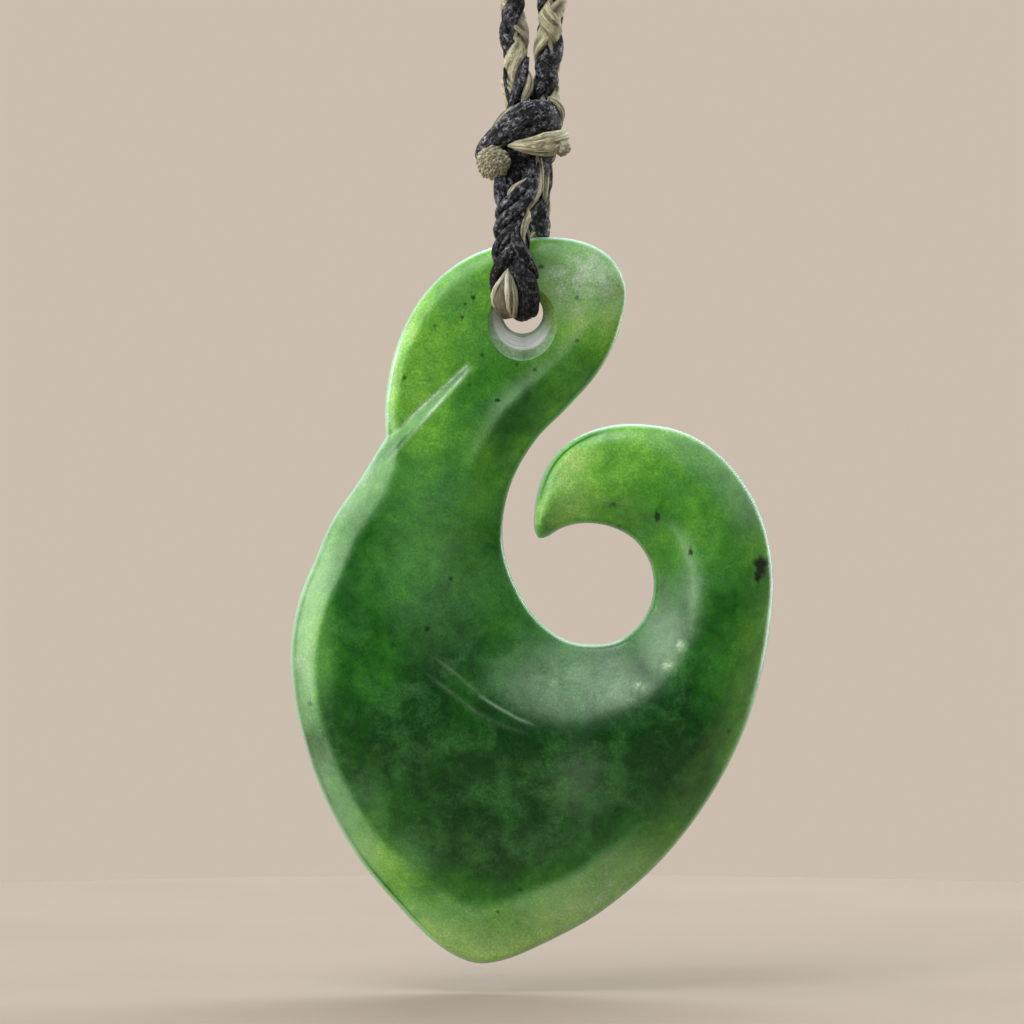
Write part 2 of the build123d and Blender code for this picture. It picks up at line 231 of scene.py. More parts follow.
# Lighter and darker places in the stone: some are its own tone, the lighter slope rows are painted
# reflections on the bevels, and the groove rows are a painted dark line inside the bright rim. wide and
# tall are half sizes in millimetres.
TONES_AND_PAINTED_LIGHT = [
    # on, across, up, wide, tall, darker by
    ("face", 0.600, 0.310, 8.0, 7.0, 0.12),
    ("face", 0.420, 0.190, 5.0, 4.5, 0.18),
    ("face", 0.400, 0.060, 6.0, 3.0, -0.08),
    ("slope", 0.400, 0.050, 9.0, 4.5, -0.34),
    ("slope", 0.150, 0.200, 6.0, 7.0, -0.34),
    ("face", 0.170, 0.450, 3.5, 6.0, -0.12),
    ("face", 0.240, 0.820, 3.4, 6.0, -0.20),
    ("face", 0.930, 0.330, 3.0, 5.0, -0.12),
    ("face", 0.600, 0.920, 4.5, 4.0, -0.22),
    ("face", 0.540, 0.650, 3.5, 5.0, -0.40),
    ("face", 0.680, 0.710, 6.0, 3.0, -0.20),
    ("slope", 0.040, 0.450, 4.0, 10.0, -0.26),
    ("slope", 0.975, 0.420, 3.4, 9.0, -0.20),
    ("slope", 0.890, 0.250, 4.0, 5.0, -0.20),
    ("slope", 0.050, 0.290, 2.2, 2.0, 0.28),
    ("slope", 0.480, 0.060, 1.6, 1.6, 0.12),
    ("slope", 0.300, 0.090, 2.2, 2.0, 0.16),
    ("face", 0.060, 0.440, 2.0, 5.0, -0.14),
    ("face", 0.870, 0.580, 3.0, 4.5, -0.18),
    ("slope", 0.740, 0.120, 8.0, 6.0, -0.34),
    ("inner", 0.560, 0.790, 5.0, 6.0, 0.18),
    ("inner", 0.490, 0.640, 3.0, 7.0, 0.20),
    ("face", 0.390, 0.680, 1.6, 4.0, -0.14),
    ("face", 0.890, 0.420, 3.5, 6.0, -0.06),
    ("face", 0.440, 0.785, 3.2, 4.5, 0.22),
    ("face", 0.062, 0.415, 1.2, 6.0, -0.20),
    ("face", 0.170, 0.200, 1.6, 3.6, -0.20),
    ("face", 0.235, 0.145, 2.2, 2.0, -0.20),
    ("face", 0.270, 0.520, 4.5, 5.0, -0.12),
    ("groove", 0.120, 0.160, 7.0, 9.0, 0.80),
    ("groove", 0.020, 0.500, 3.0, 7.0, 0.50),
    ("groove", 0.560, 0.700, 3.5, 3.0, 0.70),
]

# Pale sheen painted on the faces and slopes: painted reflections and highlights on the bevels, crests,
# scoop and rim, and small bright spots on the faces. wide and tall are half sizes in millimetres.
PAINTED_SHEENS = [
    # on, across, up, wide, tall, strength
    ("inner", 0.590, 0.388, 5.6, 3.2, 0.42),
    ("inner", 0.775, 0.440, 2.0, 3.0, 0.40),
    ("inner", 0.690, 0.380, 3.0, 1.6, 0.44),
    ("crest", 0.500, 0.760, 4.8, 6.4, 0.44),
    ("crest", 0.630, 0.860, 3.4, 3.6, 0.40),
    ("crest", 0.820, 0.530, 2.6, 4.0, 0.50),
    ("slope", 0.030, 0.480, 4.0, 9.0, 0.46),
    ("slope", 0.110, 0.210, 4.5, 7.0, 0.40),
    ("face", 0.600, 0.255, 2.0, 3.0, 0.13),
    ("face", 0.062, 0.415, 1.2, 6.0, 0.10),
    ("face", 0.165, 0.205, 1.5, 3.6, 0.09),
    ("face", 0.235, 0.145, 2.2, 2.0, 0.12),
    ("face", 0.550, 0.640, 2.4, 2.8, 0.16),
    ("face", 0.330, 0.935, 2.4, 2.0, 0.14),
    ("slope", 0.360, 0.040, 9.0, 4.0, 0.26),
    ("slope", 0.650, 0.090, 8.0, 4.5, 0.50),
    ("outer", 0.150, 0.670, 4.0, 5.0, 0.50),
    ("outer", 0.840, 0.700, 4.0, 3.0, 0.35),
    ("outer", 0.940, 0.650, 2.6, 3.4, 0.42),
    ("rim", 0.203, 0.800, 2.2, 5.0, 1.00),
    ("face", 0.605, 0.940, 4.4, 3.2, 0.68),
    ("face", 0.300, 0.560, 3.5, 8.0, 0.10),
    ("face", 0.780, 0.415, 0.66, 0.56, 0.78),
    ("face", 0.808, 0.441, 0.44, 0.64, 0.70),
    ("face", 0.722, 0.383, 0.85, 0.50, 0.72),
    ("face", 0.548, 0.390, 0.45, 0.45, 0.60),
    ("face", 0.455, 0.373, 0.18, 0.16, 0.70),
]

# Painted highlights as fine pale lines on the faces: along creases, and a curved glint on the head. half is
# the half width in millimetres.
STREAKS = [
    # name, half, strength, places as (across, up)
    ("crease", 0.100, 0.54, ((0.385, 0.376), (0.430, 0.356), (0.471, 0.341), (0.518, 0.328))),
    ("crease_upper", 0.130, 0.18, ((0.295, 0.427), (0.349, 0.400), (0.400, 0.369))),
    ("crease_lower", 0.150, 0.14, (
        (0.269, 0.409), (0.322, 0.383), (0.385, 0.350), (0.448, 0.329), (0.502, 0.317))),
    ("hook_crease_highlight", 0.060, 0.25, ((0.626, 0.641), (0.722, 0.631))),
    ("head_glint", 0.090, 0.55, ((0.655, 0.971), (0.667, 0.958), (0.671, 0.944))),
]

# Hanging loop from the front exit of the knot through the bore to the back exit.
# forward is the share of the leg stand-off, above is the height over the bore.
HANGING_ROUTE = [
    # across, forward, above
    (-0.35, 0.30, 9.6),
    (-0.60, 0.70, 7.1),
    (-0.50, 1.00, 4.5),
    (0.0, 1.00, 0.0),
    (0.0, -1.00, 0.0),
    (0.40, -1.00, 4.5),
    (0.95, -0.72, 7.1),
    (1.05, -0.34, 9.6),
]

# Neck loop from the left exit of the knot round to the right one, across and above the knot
NECK_ROUTE = [
    # across, above
    (-0.35, -0.8),
    (-0.80, 9.0),
    (-2.4, 21.0),
    (-6.5, 39.5),
    (-15.0, 71.5),
    (-29.0, 119.5),
    (-42.0, 169.5),
    (-50.8, 214.8),
    (-52.5, 248.8),
    (-45.8, 276.0),
    (-31.8, 296.8),
    (-13.0, 309.0),
    (13.4, 309.0),
    (32.4, 296.9),
    (46.4, 276.2),
    (53.2, 249.0),
    (51.6, 215.0),
    (42.9, 169.8),
    (30.0, 119.7),
    (16.1, 71.7),
    (7.8, 39.7),
    (3.9, 21.2),
    (2.15, 9.1),
    (1.50, -0.8),
]

# Turns of the plait and how far it opens, by the distance along the hanging loop in millimetres
PLAIT_TURNS = [
    # distance, degrees
    (0.0, -210.0),
    (0.7, -180.0),
    (2.8, -90.0),
    (4.9, -5.0),
    (6.7, 80.0),
    (7.9, 128.0),
    (9.0, 137.0),
    (14.5, 137.0),
    (17.0, 215.0),
    (24.0, 520.0),
]
PLAIT_OPENING = [
    # distance, width factor
    (0.0, 0.95),
    (6.2, 1.00),
    (8.0, 1.15),
    (9.6, 1.05),
    (10.8, 0.85),
    (14.0, 0.95),
    (16.0, 1.05),
    (19.0, 1.20),
    (24.0, 1.05),
]

# Knot: turns of cord that fill its inside, in millimetres from the bore
KNOT_TURNS = [
    # name, colour, centre across, centre above, half width, half depth, tilt, thickness, flatness
    ("band_back", "black", 0.30, 12.80, 1.75, 1.55, 16.0, 1.90, 0.80),
    ("core_low", "black", 0.10, 10.35, 1.10, 1.15, -18.0, 1.70, 0.90),
    ("core_mid", "black", 0.25, 11.20, 1.35, 1.35, -10.0, 1.60, 0.90),
    ("heart", "black", 0.25, 12.10, 0.55, 0.60, 5.0, 1.90, 1.00),
]
# Strands laid one by one over the knot and down the front of the hanging loop, in millimetres from the bore
LAID_STRANDS = [
    # name, replaces, colour, plies, twist, flatness, shade,
    #     bends as (across, forward, above, half width)
    ("band", "knot", "black", 6, 260.0, 0.60, 0.0, (
        (1.70, -0.70, 13.20, 0.90), (2.10, 0.60, 13.35, 1.05), (1.55, 1.70, 13.45, 1.18),
        (0.20, 2.00, 13.30, 1.28), (-1.20, 1.85, 12.45, 0.98), (-2.20, 1.35, 11.75, 0.76),
        (-2.85, 0.65, 11.20, 0.62), (-3.05, -0.20, 10.80, 0.52), (-2.40, -1.10, 10.70, 0.45))),
    ("inside_left", "knot", "black", 3, 300.0, 0.90, 0.8, (
        (-0.20, 0.70, 12.20, 0.60), (-0.40, 0.95, 11.10, 0.66), (-0.50, 1.25, 10.10, 0.62),
        (-0.60, 1.80, 8.90, 0.50))),
    ("under_wrap", "knot", "tan", 8, 60.0, 0.55, 0.0, (
        (-1.00, 2.25, 11.45, 0.06), (-0.35, 2.55, 11.45, 0.34), (0.60, 2.75, 11.40, 0.62),
        (1.65, 2.55, 11.50, 0.86), (2.60, 1.90, 11.80, 0.76), (2.95, 1.00, 12.00, 0.62),
        (2.75, -0.10, 12.10, 0.55), (1.80, -1.40, 12.20, 0.50), (0.20, -1.95, 12.20, 0.50),
        (-1.20, -1.40, 11.80, 0.40), (-1.40, -0.20, 11.40, 0.20))),
    ("upper_edge", "knot", "tan", 2, 500.0, 0.80, 0.0, (
        (-0.25, 1.90, 14.20, 0.10), (-0.75, 1.95, 13.95, 0.22), (-1.35, 1.75, 13.55, 0.20),
        (-1.95, 1.40, 12.85, 0.14), (-2.30, 1.10, 12.40, 0.08))),
    ("top_loop", "knot", "tan", 3, 500.0, 0.90, 0.0, (
        (1.75, 0.80, 14.80, 0.10), (2.25, 1.00, 14.60, 0.25), (2.65, 0.90, 14.05, 0.29),
        (2.75, 0.60, 13.45, 0.22), (2.60, 0.30, 13.00, 0.12))),
    ("between_legs", "knot", "tan", 5, 0.0, 0.70, 0.0, (
        (0.46, 0.80, 16.60, 0.04), (0.52, 0.90, 15.95, 0.30), (0.42, 0.95, 15.40, 0.36),
        (0.22, 1.05, 14.90, 0.27), (0.00, 1.10, 14.30, 0.15))),
    ("left_cover", "knot", "black", 3, 300.0, 0.60, 0.0, (
        (0.30, 0.55, 17.60, 0.20), (0.05, 0.85, 16.80, 0.40), (-0.20, 0.98, 15.90, 0.42),
        (-0.50, 1.02, 15.10, 0.36), (-0.75, 0.98, 14.30, 0.28))),
    ("left_edge", "knot", "black", 2, 600.0, 0.90, 0.0, (
        (-1.20, 0.30, 17.40, 0.08), (-1.22, 0.45, 16.40, 0.16), (-1.10, 0.55, 15.30, 0.20),
        (-0.80, 0.70, 14.30, 0.18))),
    ("side_yarn", "hanging_loop", "tan", 2, 600.0, 0.85, 0.0, (
        (1.05, 1.95, 10.80, 0.10), (0.85, 2.50, 9.80, 0.10), (0.45, 3.00, 9.20, 0.11),
        (-0.15, 3.30, 8.85, 0.13), (-0.65, 3.45, 8.50, 0.19), (-0.90, 3.35, 8.00, 0.16))),
    ("left_black", "hanging_loop", "black", 3, 500.0, 0.85, 0.0, (
        (-1.20, 1.60, 10.40, 0.30), (-1.50, 2.10, 9.40, 0.42), (-1.56, 2.65, 8.40, 0.42),
        (-1.48, 3.00, 7.50, 0.42), (-1.00, 2.80, 6.80, 0.35))),
    ("upper_ply", "hanging_loop", "black", 4, 420.0, 0.85, 0.0, (
        (0.75, 2.10, 10.40, 0.30), (0.55, 2.75, 9.30, 0.34), (-0.05, 3.30, 8.40, 0.38),
        (-0.75, 3.65, 7.75, 0.38), (-1.35, 3.55, 7.20, 0.36), (-1.66, 3.00, 6.60, 0.32),
        (-1.40, 2.30, 6.10, 0.25))),
    ("lower_ply", "hanging_loop", "black", 4, 420.0, 0.85, 0.0, (
        (1.05, 1.90, 10.20, 0.30), (0.80, 2.70, 9.00, 0.36), (0.55, 3.35, 7.95, 0.42),
        (-0.25, 3.90, 7.05, 0.44), (-1.05, 4.00, 6.50, 0.44), (-1.62, 3.60, 5.90, 0.40),
        (-1.66, 2.80, 5.20, 0.34), (-1.20, 2.30, 4.70, 0.25))),
    ("right_tan", "hanging_loop", "tan", 3, 350.0, 0.85, 0.0, (
        (1.10, 1.30, 10.80, 0.22), (1.25, 2.05, 9.60, 0.27), (1.20, 2.70, 8.50, 0.29),
        (0.78, 3.25, 7.65, 0.26), (0.35, 3.35, 7.10, 0.20))),
    ("right_yarn", "hanging_loop", "tan", 2, 350.0, 0.85, 0.0, (
        (0.25, 3.45, 7.25, 0.15), (0.48, 3.65, 6.70, 0.23), (0.22, 3.95, 6.00, 0.25),
        (0.04, 4.12, 5.20, 0.18), (0.12, 4.12, 4.50, 0.14), (0.40, 3.95, 3.85, 0.12),
        (0.80, 3.60, 3.30, 0.12), (1.02, 3.30, 2.70, 0.08))),
    ("rear_tan", "hanging_loop", "tan", 2, 350.0, 0.90, 0.0, (
        (1.30, 0.50, 10.90, 0.16), (1.58, 0.20, 10.00, 0.20), (1.64, -0.30, 9.00, 0.20),
        (1.52, -1.00, 8.10, 0.16), (1.40, -1.60, 7.40, 0.10))),
    ("third_ply", "hanging_loop", "black", 4, 420.0, 0.80, 0.0, (
        (0.10, 3.55, 6.40, 0.25), (-0.45, 3.95, 5.90, 0.42), (-1.05, 4.05, 5.25, 0.46),
        (-1.62, 3.65, 4.50, 0.44), (-1.78, 2.95, 3.70, 0.36), (-1.40, 2.50, 3.00, 0.28))),
    ("left_arm", "hanging_loop", "black", 4, 300.0, 0.80, 0.2, (
        (-0.20, 3.80, 5.00, 0.25), (-0.75, 4.05, 4.25, 0.42), (-1.30, 4.05, 3.45, 0.50),
        (-1.75, 3.80, 2.60, 0.46), (-1.92, 3.45, 1.80, 0.32), (-1.80, 3.00, 1.00, 0.20))),
    ("right_arm", "hanging_loop", "black", 4, 300.0, 0.80, 0.0, (
        (-0.60, 3.60, 6.60, 0.25), (-0.52, 4.05, 5.60, 0.36), (-0.25, 4.20, 4.60, 0.44),
        (0.25, 4.10, 3.75, 0.46), (0.65, 3.80, 3.05, 0.44), (0.85, 3.40, 2.30, 0.36))),
    ("right_black", "hanging_loop", "black", 5, 200.0, 0.62, 0.75, (
        (-0.45, 3.95, 3.60, 0.25), (-0.05, 4.15, 2.95, 0.50), (0.40, 4.10, 2.10, 0.70),
        (0.52, 4.05, 1.10, 0.76), (0.48, 3.90, 0.02, 0.70), (0.32, 2.40, -0.10, 0.56),
        (0.30, 0.60, 0.05, 0.45))),
    ("under_black", "hanging_loop", "black", 4, 200.0, 0.60, 0.75, (
        (0.20, 3.70, 1.60, 0.40), (0.10, 3.80, 0.60, 0.60), (-0.10, 3.60, -0.18, 0.66),
        (-0.10, 2.40, -0.30, 0.56), (-0.05, 0.60, -0.15, 0.45))),
    ("leaf", "hanging_loop", "tan", 10, 0.0, 0.34, 0.95, (
        (-0.95, 4.00, 3.00, 0.04), (-1.02, 4.12, 2.45, 0.36), (-1.10, 4.15, 1.75, 0.78),
        (-1.14, 4.14, 1.00, 0.98), (-1.00, 4.08, 0.30, 0.90), (-0.75, 3.60, -0.18, 0.66),
        (-0.50, 2.30, -0.05, 0.50), (-0.40, 0.60, 0.05, 0.42))),
    # The pale yarns use the lighter copy of the tan cord, painted lighter as if lit from the front
    ("leaf_yarn_left", "hanging_loop", "pale", 3, 150.0, 0.85, 0.10, (
        (-0.96, 4.05, 3.00, 0.05), (-1.30, 4.22, 2.30, 0.18), (-1.80, 4.22, 1.60, 0.23),
        (-1.96, 4.12, 0.90, 0.22), (-1.72, 3.97, 0.25, 0.20), (-1.25, 3.50, -0.12, 0.15))),
    ("leaf_yarn_inner", "hanging_loop", "tan", 3, 150.0, 0.80, 0.62, (
        (-0.95, 4.10, 2.90, 0.05), (-1.18, 4.26, 2.20, 0.16), (-1.42, 4.28, 1.50, 0.19),
        (-1.47, 4.24, 0.85, 0.20), (-1.28, 4.10, 0.20, 0.20), (-0.98, 3.60, -0.18, 0.18))),
    ("leaf_yarn_middle", "hanging_loop", "pale", 3, 150.0, 0.85, 0.0, (
        (-0.93, 4.15, 3.00, 0.06), (-0.98, 4.32, 2.30, 0.22), (-0.97, 4.38, 1.50, 0.27),
        (-0.95, 4.36, 0.80, 0.25), (-0.90, 4.17, 0.15, 0.20), (-0.75, 3.60, -0.24, 0.18))),
    ("leaf_yarn_right", "hanging_loop", "tan", 3, 150.0, 0.85, 0.22, (
        (-0.88, 4.10, 2.85, 0.05), (-0.70, 4.22, 2.20, 0.17), (-0.46, 4.28, 1.45, 0.22),
        (-0.40, 4.26, 0.70, 0.21), (-0.48, 4.10, 0.05, 0.19), (-0.50, 3.50, -0.32, 0.18))),
]


# ---------------------------------------------------------------- material helpers
class Wire:
    """An output of a node. Arithmetic on it adds math nodes to the same tree."""

    def __init__(self, socket):
        self.socket = socket
        self.tree = socket.id_data

    def math(self, operation, other, clamp=False):
        return add(self.tree, "Math", {0: self, 1: other}, operation=operation, use_clamp=clamp)

    def __add__(self, other):
        return self.math("ADD", other)

    def __sub__(self, other):
        return self.math("SUBTRACT", other)

    def __mul__(self, other):
        return self.math("MULTIPLY", other)


def fill(node, inputs):
    """Links each wire to the node's input, and sets each plain value on it."""
    for key, value in inputs.items():
        if isinstance(value, Wire):
            value.tree.links.new(value.socket, node.inputs[key])
        else:
            node.inputs[key].default_value = value


def add(tree, kind, inputs, output=0, **settings):
    """A new node with these inputs and settings, and the wire from one of its outputs."""
    made = tree.nodes.new("ShaderNode" + kind)
    for key, value in settings.items():
        setattr(made, key, value)
    fill(made, inputs)
    return Wire(made.outputs[output])


def attribute(tree, name):
    return add(tree, "Attribute", {}, "Fac", attribute_name=name)


def spread(value, low, high, to_low=0.0, to_high=1.0):
    """The value's eased share of the way from low to high, between two new ends."""
    ends = {"Value": value, "From Min": low, "From Max": high, "To Min": to_low, "To Max": to_high}
    return add(value.tree, "MapRange", ends, interpolation_type="SMOOTHSTEP")


def mixed(a, b, share, way="MIX"):
    """Colour a with b over it, by the share."""
    tree = (share if isinstance(share, Wire) else a).tree
    return add(tree, "Mix", {0: share, 6: a, 7: b}, 2, data_type="RGBA", blend_type=way)


def ramp(value, *stops):
    """The colour at the value, between stops of place and colour."""
    made = add(value.tree, "ValToRGB", {0: value})
    rows = made.socket.node.color_ramp.elements
    while len(rows) < len(stops):
        rows.new(0.5)
    for row, (place, colour) in zip(rows, stops):
        row.position = place
        row.color = (*colour, 1.0)
    return made


def noise(where, scale, detail=3.0, rough=0.55, distortion=0.0):
    inputs = {"Vector": where, "Scale": scale, "Detail": detail}
    inputs.update({"Roughness": rough, "Distortion": distortion})
    return add(where.tree, "TexNoise", inputs)


def bump(height, strength, distance, before=None):
    inputs = {"Strength": strength, "Distance": distance, "Height": height}
    if before is not None:
        inputs["Normal"] = before
    return add(height.tree, "Bump", inputs)


def new_material(name):
    made = bpy.data.materials.new(name)
    made.use_nodes = True
    tree = made.node_tree
    tree.nodes.clear()
    out = tree.nodes.new("ShaderNodeOutputMaterial")
    shader = tree.nodes.new("ShaderNodeBsdfPrincipled")
    tree.links.new(shader.outputs[0], out.inputs[0])
    return made, tree, shader, add(tree, "TexCoord", {}, "Object")


# Values at the corners of the stone that its material reads
STONE_VALUES = ("thick", "haze", "edge", "sunk", "ring", "white", "speck")


def greenstone():
    made, tree, shader, place = new_material("green_stone")
    thick, haze, edge, sunk, ring, white, speck = (attribute(tree, name) for name in STONE_VALUES)
    cloud = noise(place, 140.0, 4.0, 0.55, 0.7)
    fleck = noise(place, 800.0, 5.0, 0.65, 0.4)
    grain = noise(place, 7000.0, 4.0, 0.75)
    veil = noise(place, 380.0, 7.0, 0.72, 0.25)

    # Green by how deep the stone looks, with clouds, a veil and a fine grain. The depth value also carries
    # painted light and shade from the table of tones, the ledge and the countersink
    depth = thick + (cloud - 0.5) * 0.68 + (fleck - 0.5) * 0.60
    depth = depth.math("ADD", (grain - 0.5) * 0.18, True)
    colour = ramp(
        depth,
        (0.00, (0.380, 0.640, 0.130)),
        (0.20, (0.200, 0.500, 0.058)),
        (0.38, (0.105, 0.340, 0.032)),
        (0.56, (0.046, 0.210, 0.018)),
        (0.78, (0.014, 0.110, 0.009)),
        (1.00, (0.004, 0.048, 0.005)),
    )
    colour = mixed(colour, (0.072, 0.260, 0.060, 1.0), spread(veil, 0.42, 0.72, 0.0, 0.48))
    salt = ramp(grain, (0.36, (0.70, 0.72, 0.74)), (0.50, (0.98, 0.98, 0.98)), (0.64, (1.42, 1.34, 1.46)))
    colour = mixed(colour, salt, 1.0, "MULTIPLY")

    # Painted pale sheen of reflections and highlights, broken into patches by the grain, and a painted
    # highlight along the outer edge
    cluster = spread(noise(place, 520.0, 5.0, 0.7, 0.5), 0.34, 0.66)
    patchy = cluster * 0.50 + spread(grain, 0.42, 0.66) * 0.30
    haze = haze.math("MULTIPLY", patchy + 0.50, True)
    gleam = ramp(haze, (0.45, (0.34, 0.53, 0.32)), (0.95, (0.82, 0.90, 0.76)))
    colour = mixed(colour, gleam, haze)
    colour = mixed(colour, (0.34, 0.54, 0.45, 1.0), edge * 0.70)

    # Frosted countersink, with a painted bright highlight on its scratched ring where light from above
    # falls
    rings = noise(add(tree, "CombineXYZ", {0: ring * 30.0, 1: cloud * 5.0}), 1.0, 3.0, 0.7)
    mottle = grain * 0.5 + fleck * 0.5
    frosted = (0.36, (0.11, 0.26, 0.09)), (0.50, (0.26, 0.44, 0.22)), (0.64, (0.52, 0.70, 0.48))
    frosted = ramp(mottle, *frosted)
    white_ring = spread(ring, 0.30, 0.44) * spread(ring, 0.96, 0.80, 0.25, 1.0) * white
    scratch_highlights = white_ring * spread(rings, 0.34, 0.53, 0.28, 1.0)
    colour = mixed(colour, mixed(frosted, (0.96, 1.0, 0.99, 1.0), scratch_highlights), sunk)

    # Dark inclusions, and a few tiny dots where a cell of the pattern is picked
    cells = add(tree, "TexVoronoi", {"Vector": place, "Scale": 620.0}, "Distance")
    picked = add(tree, "SeparateXYZ", {0: Wire(cells.socket.node.outputs["Color"])})
    dots = spread(cells + fleck * 0.2, 0.26, 0.16) * spread(picked, 0.88, 0.93, 0.0, 0.75)
    colour = mixed(colour, (0.008, 0.018, 0.006, 1.0), speck.math("MAXIMUM", dots))

    fine = bump(grain, 0.30, 0.00004)
    fine = bump(fleck, 0.22, 0.00012, fine)
    fine = bump(rings * sunk, 0.8, 0.00012, fine)
    rough = (fleck * 0.22 + haze * 0.22 + 0.15).math("MAXIMUM", sunk * 0.38)
    fill(shader, {"Base Color": colour, "Roughness": rough, "Normal": fine})
    fill(shader, {"IOR": 1.61, "Specular IOR Level": 0.28, "Subsurface Weight": 0.18})
    fill(shader, {"Subsurface Radius": (0.5, 1.0, 0.35), "Subsurface Scale": 0.0012})
    return made


def twine(name, dark, middle, light, glint, sheen, gloss):
    """Fibrous cord: streaks that run along the strand, with fine painted glints, and painted shade in the
    grooves between the plies.
    """
    made, tree, shader, place = new_material(name)
    both = {0: attribute(tree, "along") * 450.0, 1: attribute(tree, "around") * 11.0}
    both = add(tree, "CombineXYZ", both)
    fibre = noise(both, 1.6, 5.0, 0.65, 0.4)
    hair = noise(both, 6.0, 3.0, 0.6)
    glint_speckle = noise(place, 3000.0, 4.0, 0.75)
    blotch = noise(place, 1300.0, 4.0, 0.7)
    tone = spread(fibre * 0.62 + hair * 0.38, 0.36, 0.64)
    colour = ramp(tone, (0.0, dark), (0.5, middle), (1.0, light))
    # Painted glints where the fine speckle meets the broad patches
    painted_glints = spread(blotch, 0.38, 0.62) * spread(hair * 0.5 + glint_speckle * 0.5, 0.49, 0.60)
    colour = mixed(colour, (*glint, 1.0), painted_glints)
    # Painted shade in the grooves between the plies, and on the strands that are given a shade
    colour = mixed(colour, (*dark, 1.0), attribute(tree, "groove") * 0.85)
    fine = bump(fibre, 0.9, 0.00016)
    fine = bump(hair, 0.7, 0.00006, fine)
    fine = bump(glint_speckle, 0.6, 0.00005, fine)
    fill(shader, {"Base Color": colour, "Roughness": spread(glint_speckle, 0.3, 0.75, 0.7, 0.38), "Normal": fine})
    fill(shader, {"Specular IOR Level": gloss, "Sheen Weight": sheen, "Sheen Roughness": 0.4})
    return made


def plain_stage(name, colour):
    made, _, shader, place = new_material(name)
    pale = tuple(min(1.0, c * 1.08) for c in colour)
    cloud = ramp(noise(place, 30.0, 4.0), (0.3, colour), (0.7, pale))
    fill(shader, {"Base Color": cloud, "Roughness": 0.9})
    return made


# ---------------------------------------------------------------- mesh helpers
def add_object(name, data):
    made = bpy.data.objects.new(name, data)
    bpy.context.scene.collection.objects.link(made)
    return made


def make_piece(name, shape, material, body, node):
    """A smooth piece from corners, faces and their values, which stands for a CAD node."""
    verts, faces, values = shape
    mesh = bpy.data.meshes.new(name)
    mesh.from_pydata([tuple(v) for v in verts], [], [tuple(f) for f in faces])
    for key, numbers in values.items():
        layer = mesh.attributes.new(key, "FLOAT", "POINT")
        layer.data.foreach_set("value", np.asarray(numbers, dtype=np.float32))
    mesh.materials.append(material)
    mesh.polygons.foreach_set("use_smooth", [True] * len(mesh.polygons))
    mesh.update()
    piece = add_object(name, mesh)
    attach(piece, body)
    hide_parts(node)
    return piece


def clamp(value):
    return np.clip(value, 0, 1)


def smooth(value):
    """The value held between 0 and 1, with an even ease at both ends."""
    t = clamp(value)
    return t * t * (3 - 2 * t)


def bell(offset, width):
    return np.exp(-((offset / width) ** 2))


def circle(sides):
    """Even turns round a circle, in radians."""
    return np.linspace(0, 2 * math.pi, sides, endpoint=False)


def unit(v):
    return v / np.maximum(np.linalg.norm(v, axis=-1, keepdims=True), 1e-12)


def headings(line):
    return unit(np.gradient(line, axis=0))


def rightwards(ahead):
    """The direction to the right of each heading in the flat outline."""
    return np.stack([ahead[:, 1], -ahead[:, 0]], axis=1)


def walked(line):
    """Distance walked along the line at each of its points."""
    steps = np.linalg.norm(np.diff(line, axis=0), axis=1)
    return np.concatenate([[0.0], np.cumsum(steps)])


def at_distances(line, where):
    far = walked(line)
    return np.stack([np.interp(where, far, column) for column in line.T], axis=1)


def route_line(points):
    """Points along the smooth spline that has these points as its control points."""
    data = bpy.data.curves.new("route", "CURVE")
    data.dimensions = "3D"
    data.resolution_u = 40
    spline = data.splines.new("NURBS")
    spline.points.add(len(points) - 1)
    for spot, point in zip(spline.points, points):
        spot.co = (*point, 1.0)
    spline.order_u = 3
    spline.use_endpoint_u = True
    holder = bpy.data.objects.new("route", data)
    mesh = bpy.data.meshes.new_from_object(holder)
    line = np.array([v.co[:] for v in mesh.vertices])
    bpy.data.objects.remove(holder)
    bpy.data.curves.remove(data)
    bpy.data.meshes.remove(mesh)
    return line


def carried(line, first):
    """A sideways direction at each point, carried along the line without twist."""
    side = []
    now = np.array(first, dtype=float)
    for ahead in headings(line):
        now = now - ahead * np.dot(now, ahead)
        now = now / np.linalg.norm(now)
        side.append(now)
    return np.array(side)


def bridge(last, now, flipped=False):
    """Four-cornered faces between two closed rings of corner numbers."""
    faces = zip(last, np.roll(last, -1), np.roll(now, -1), now)
    return [face[::-1] if flipped else face for face in faces]


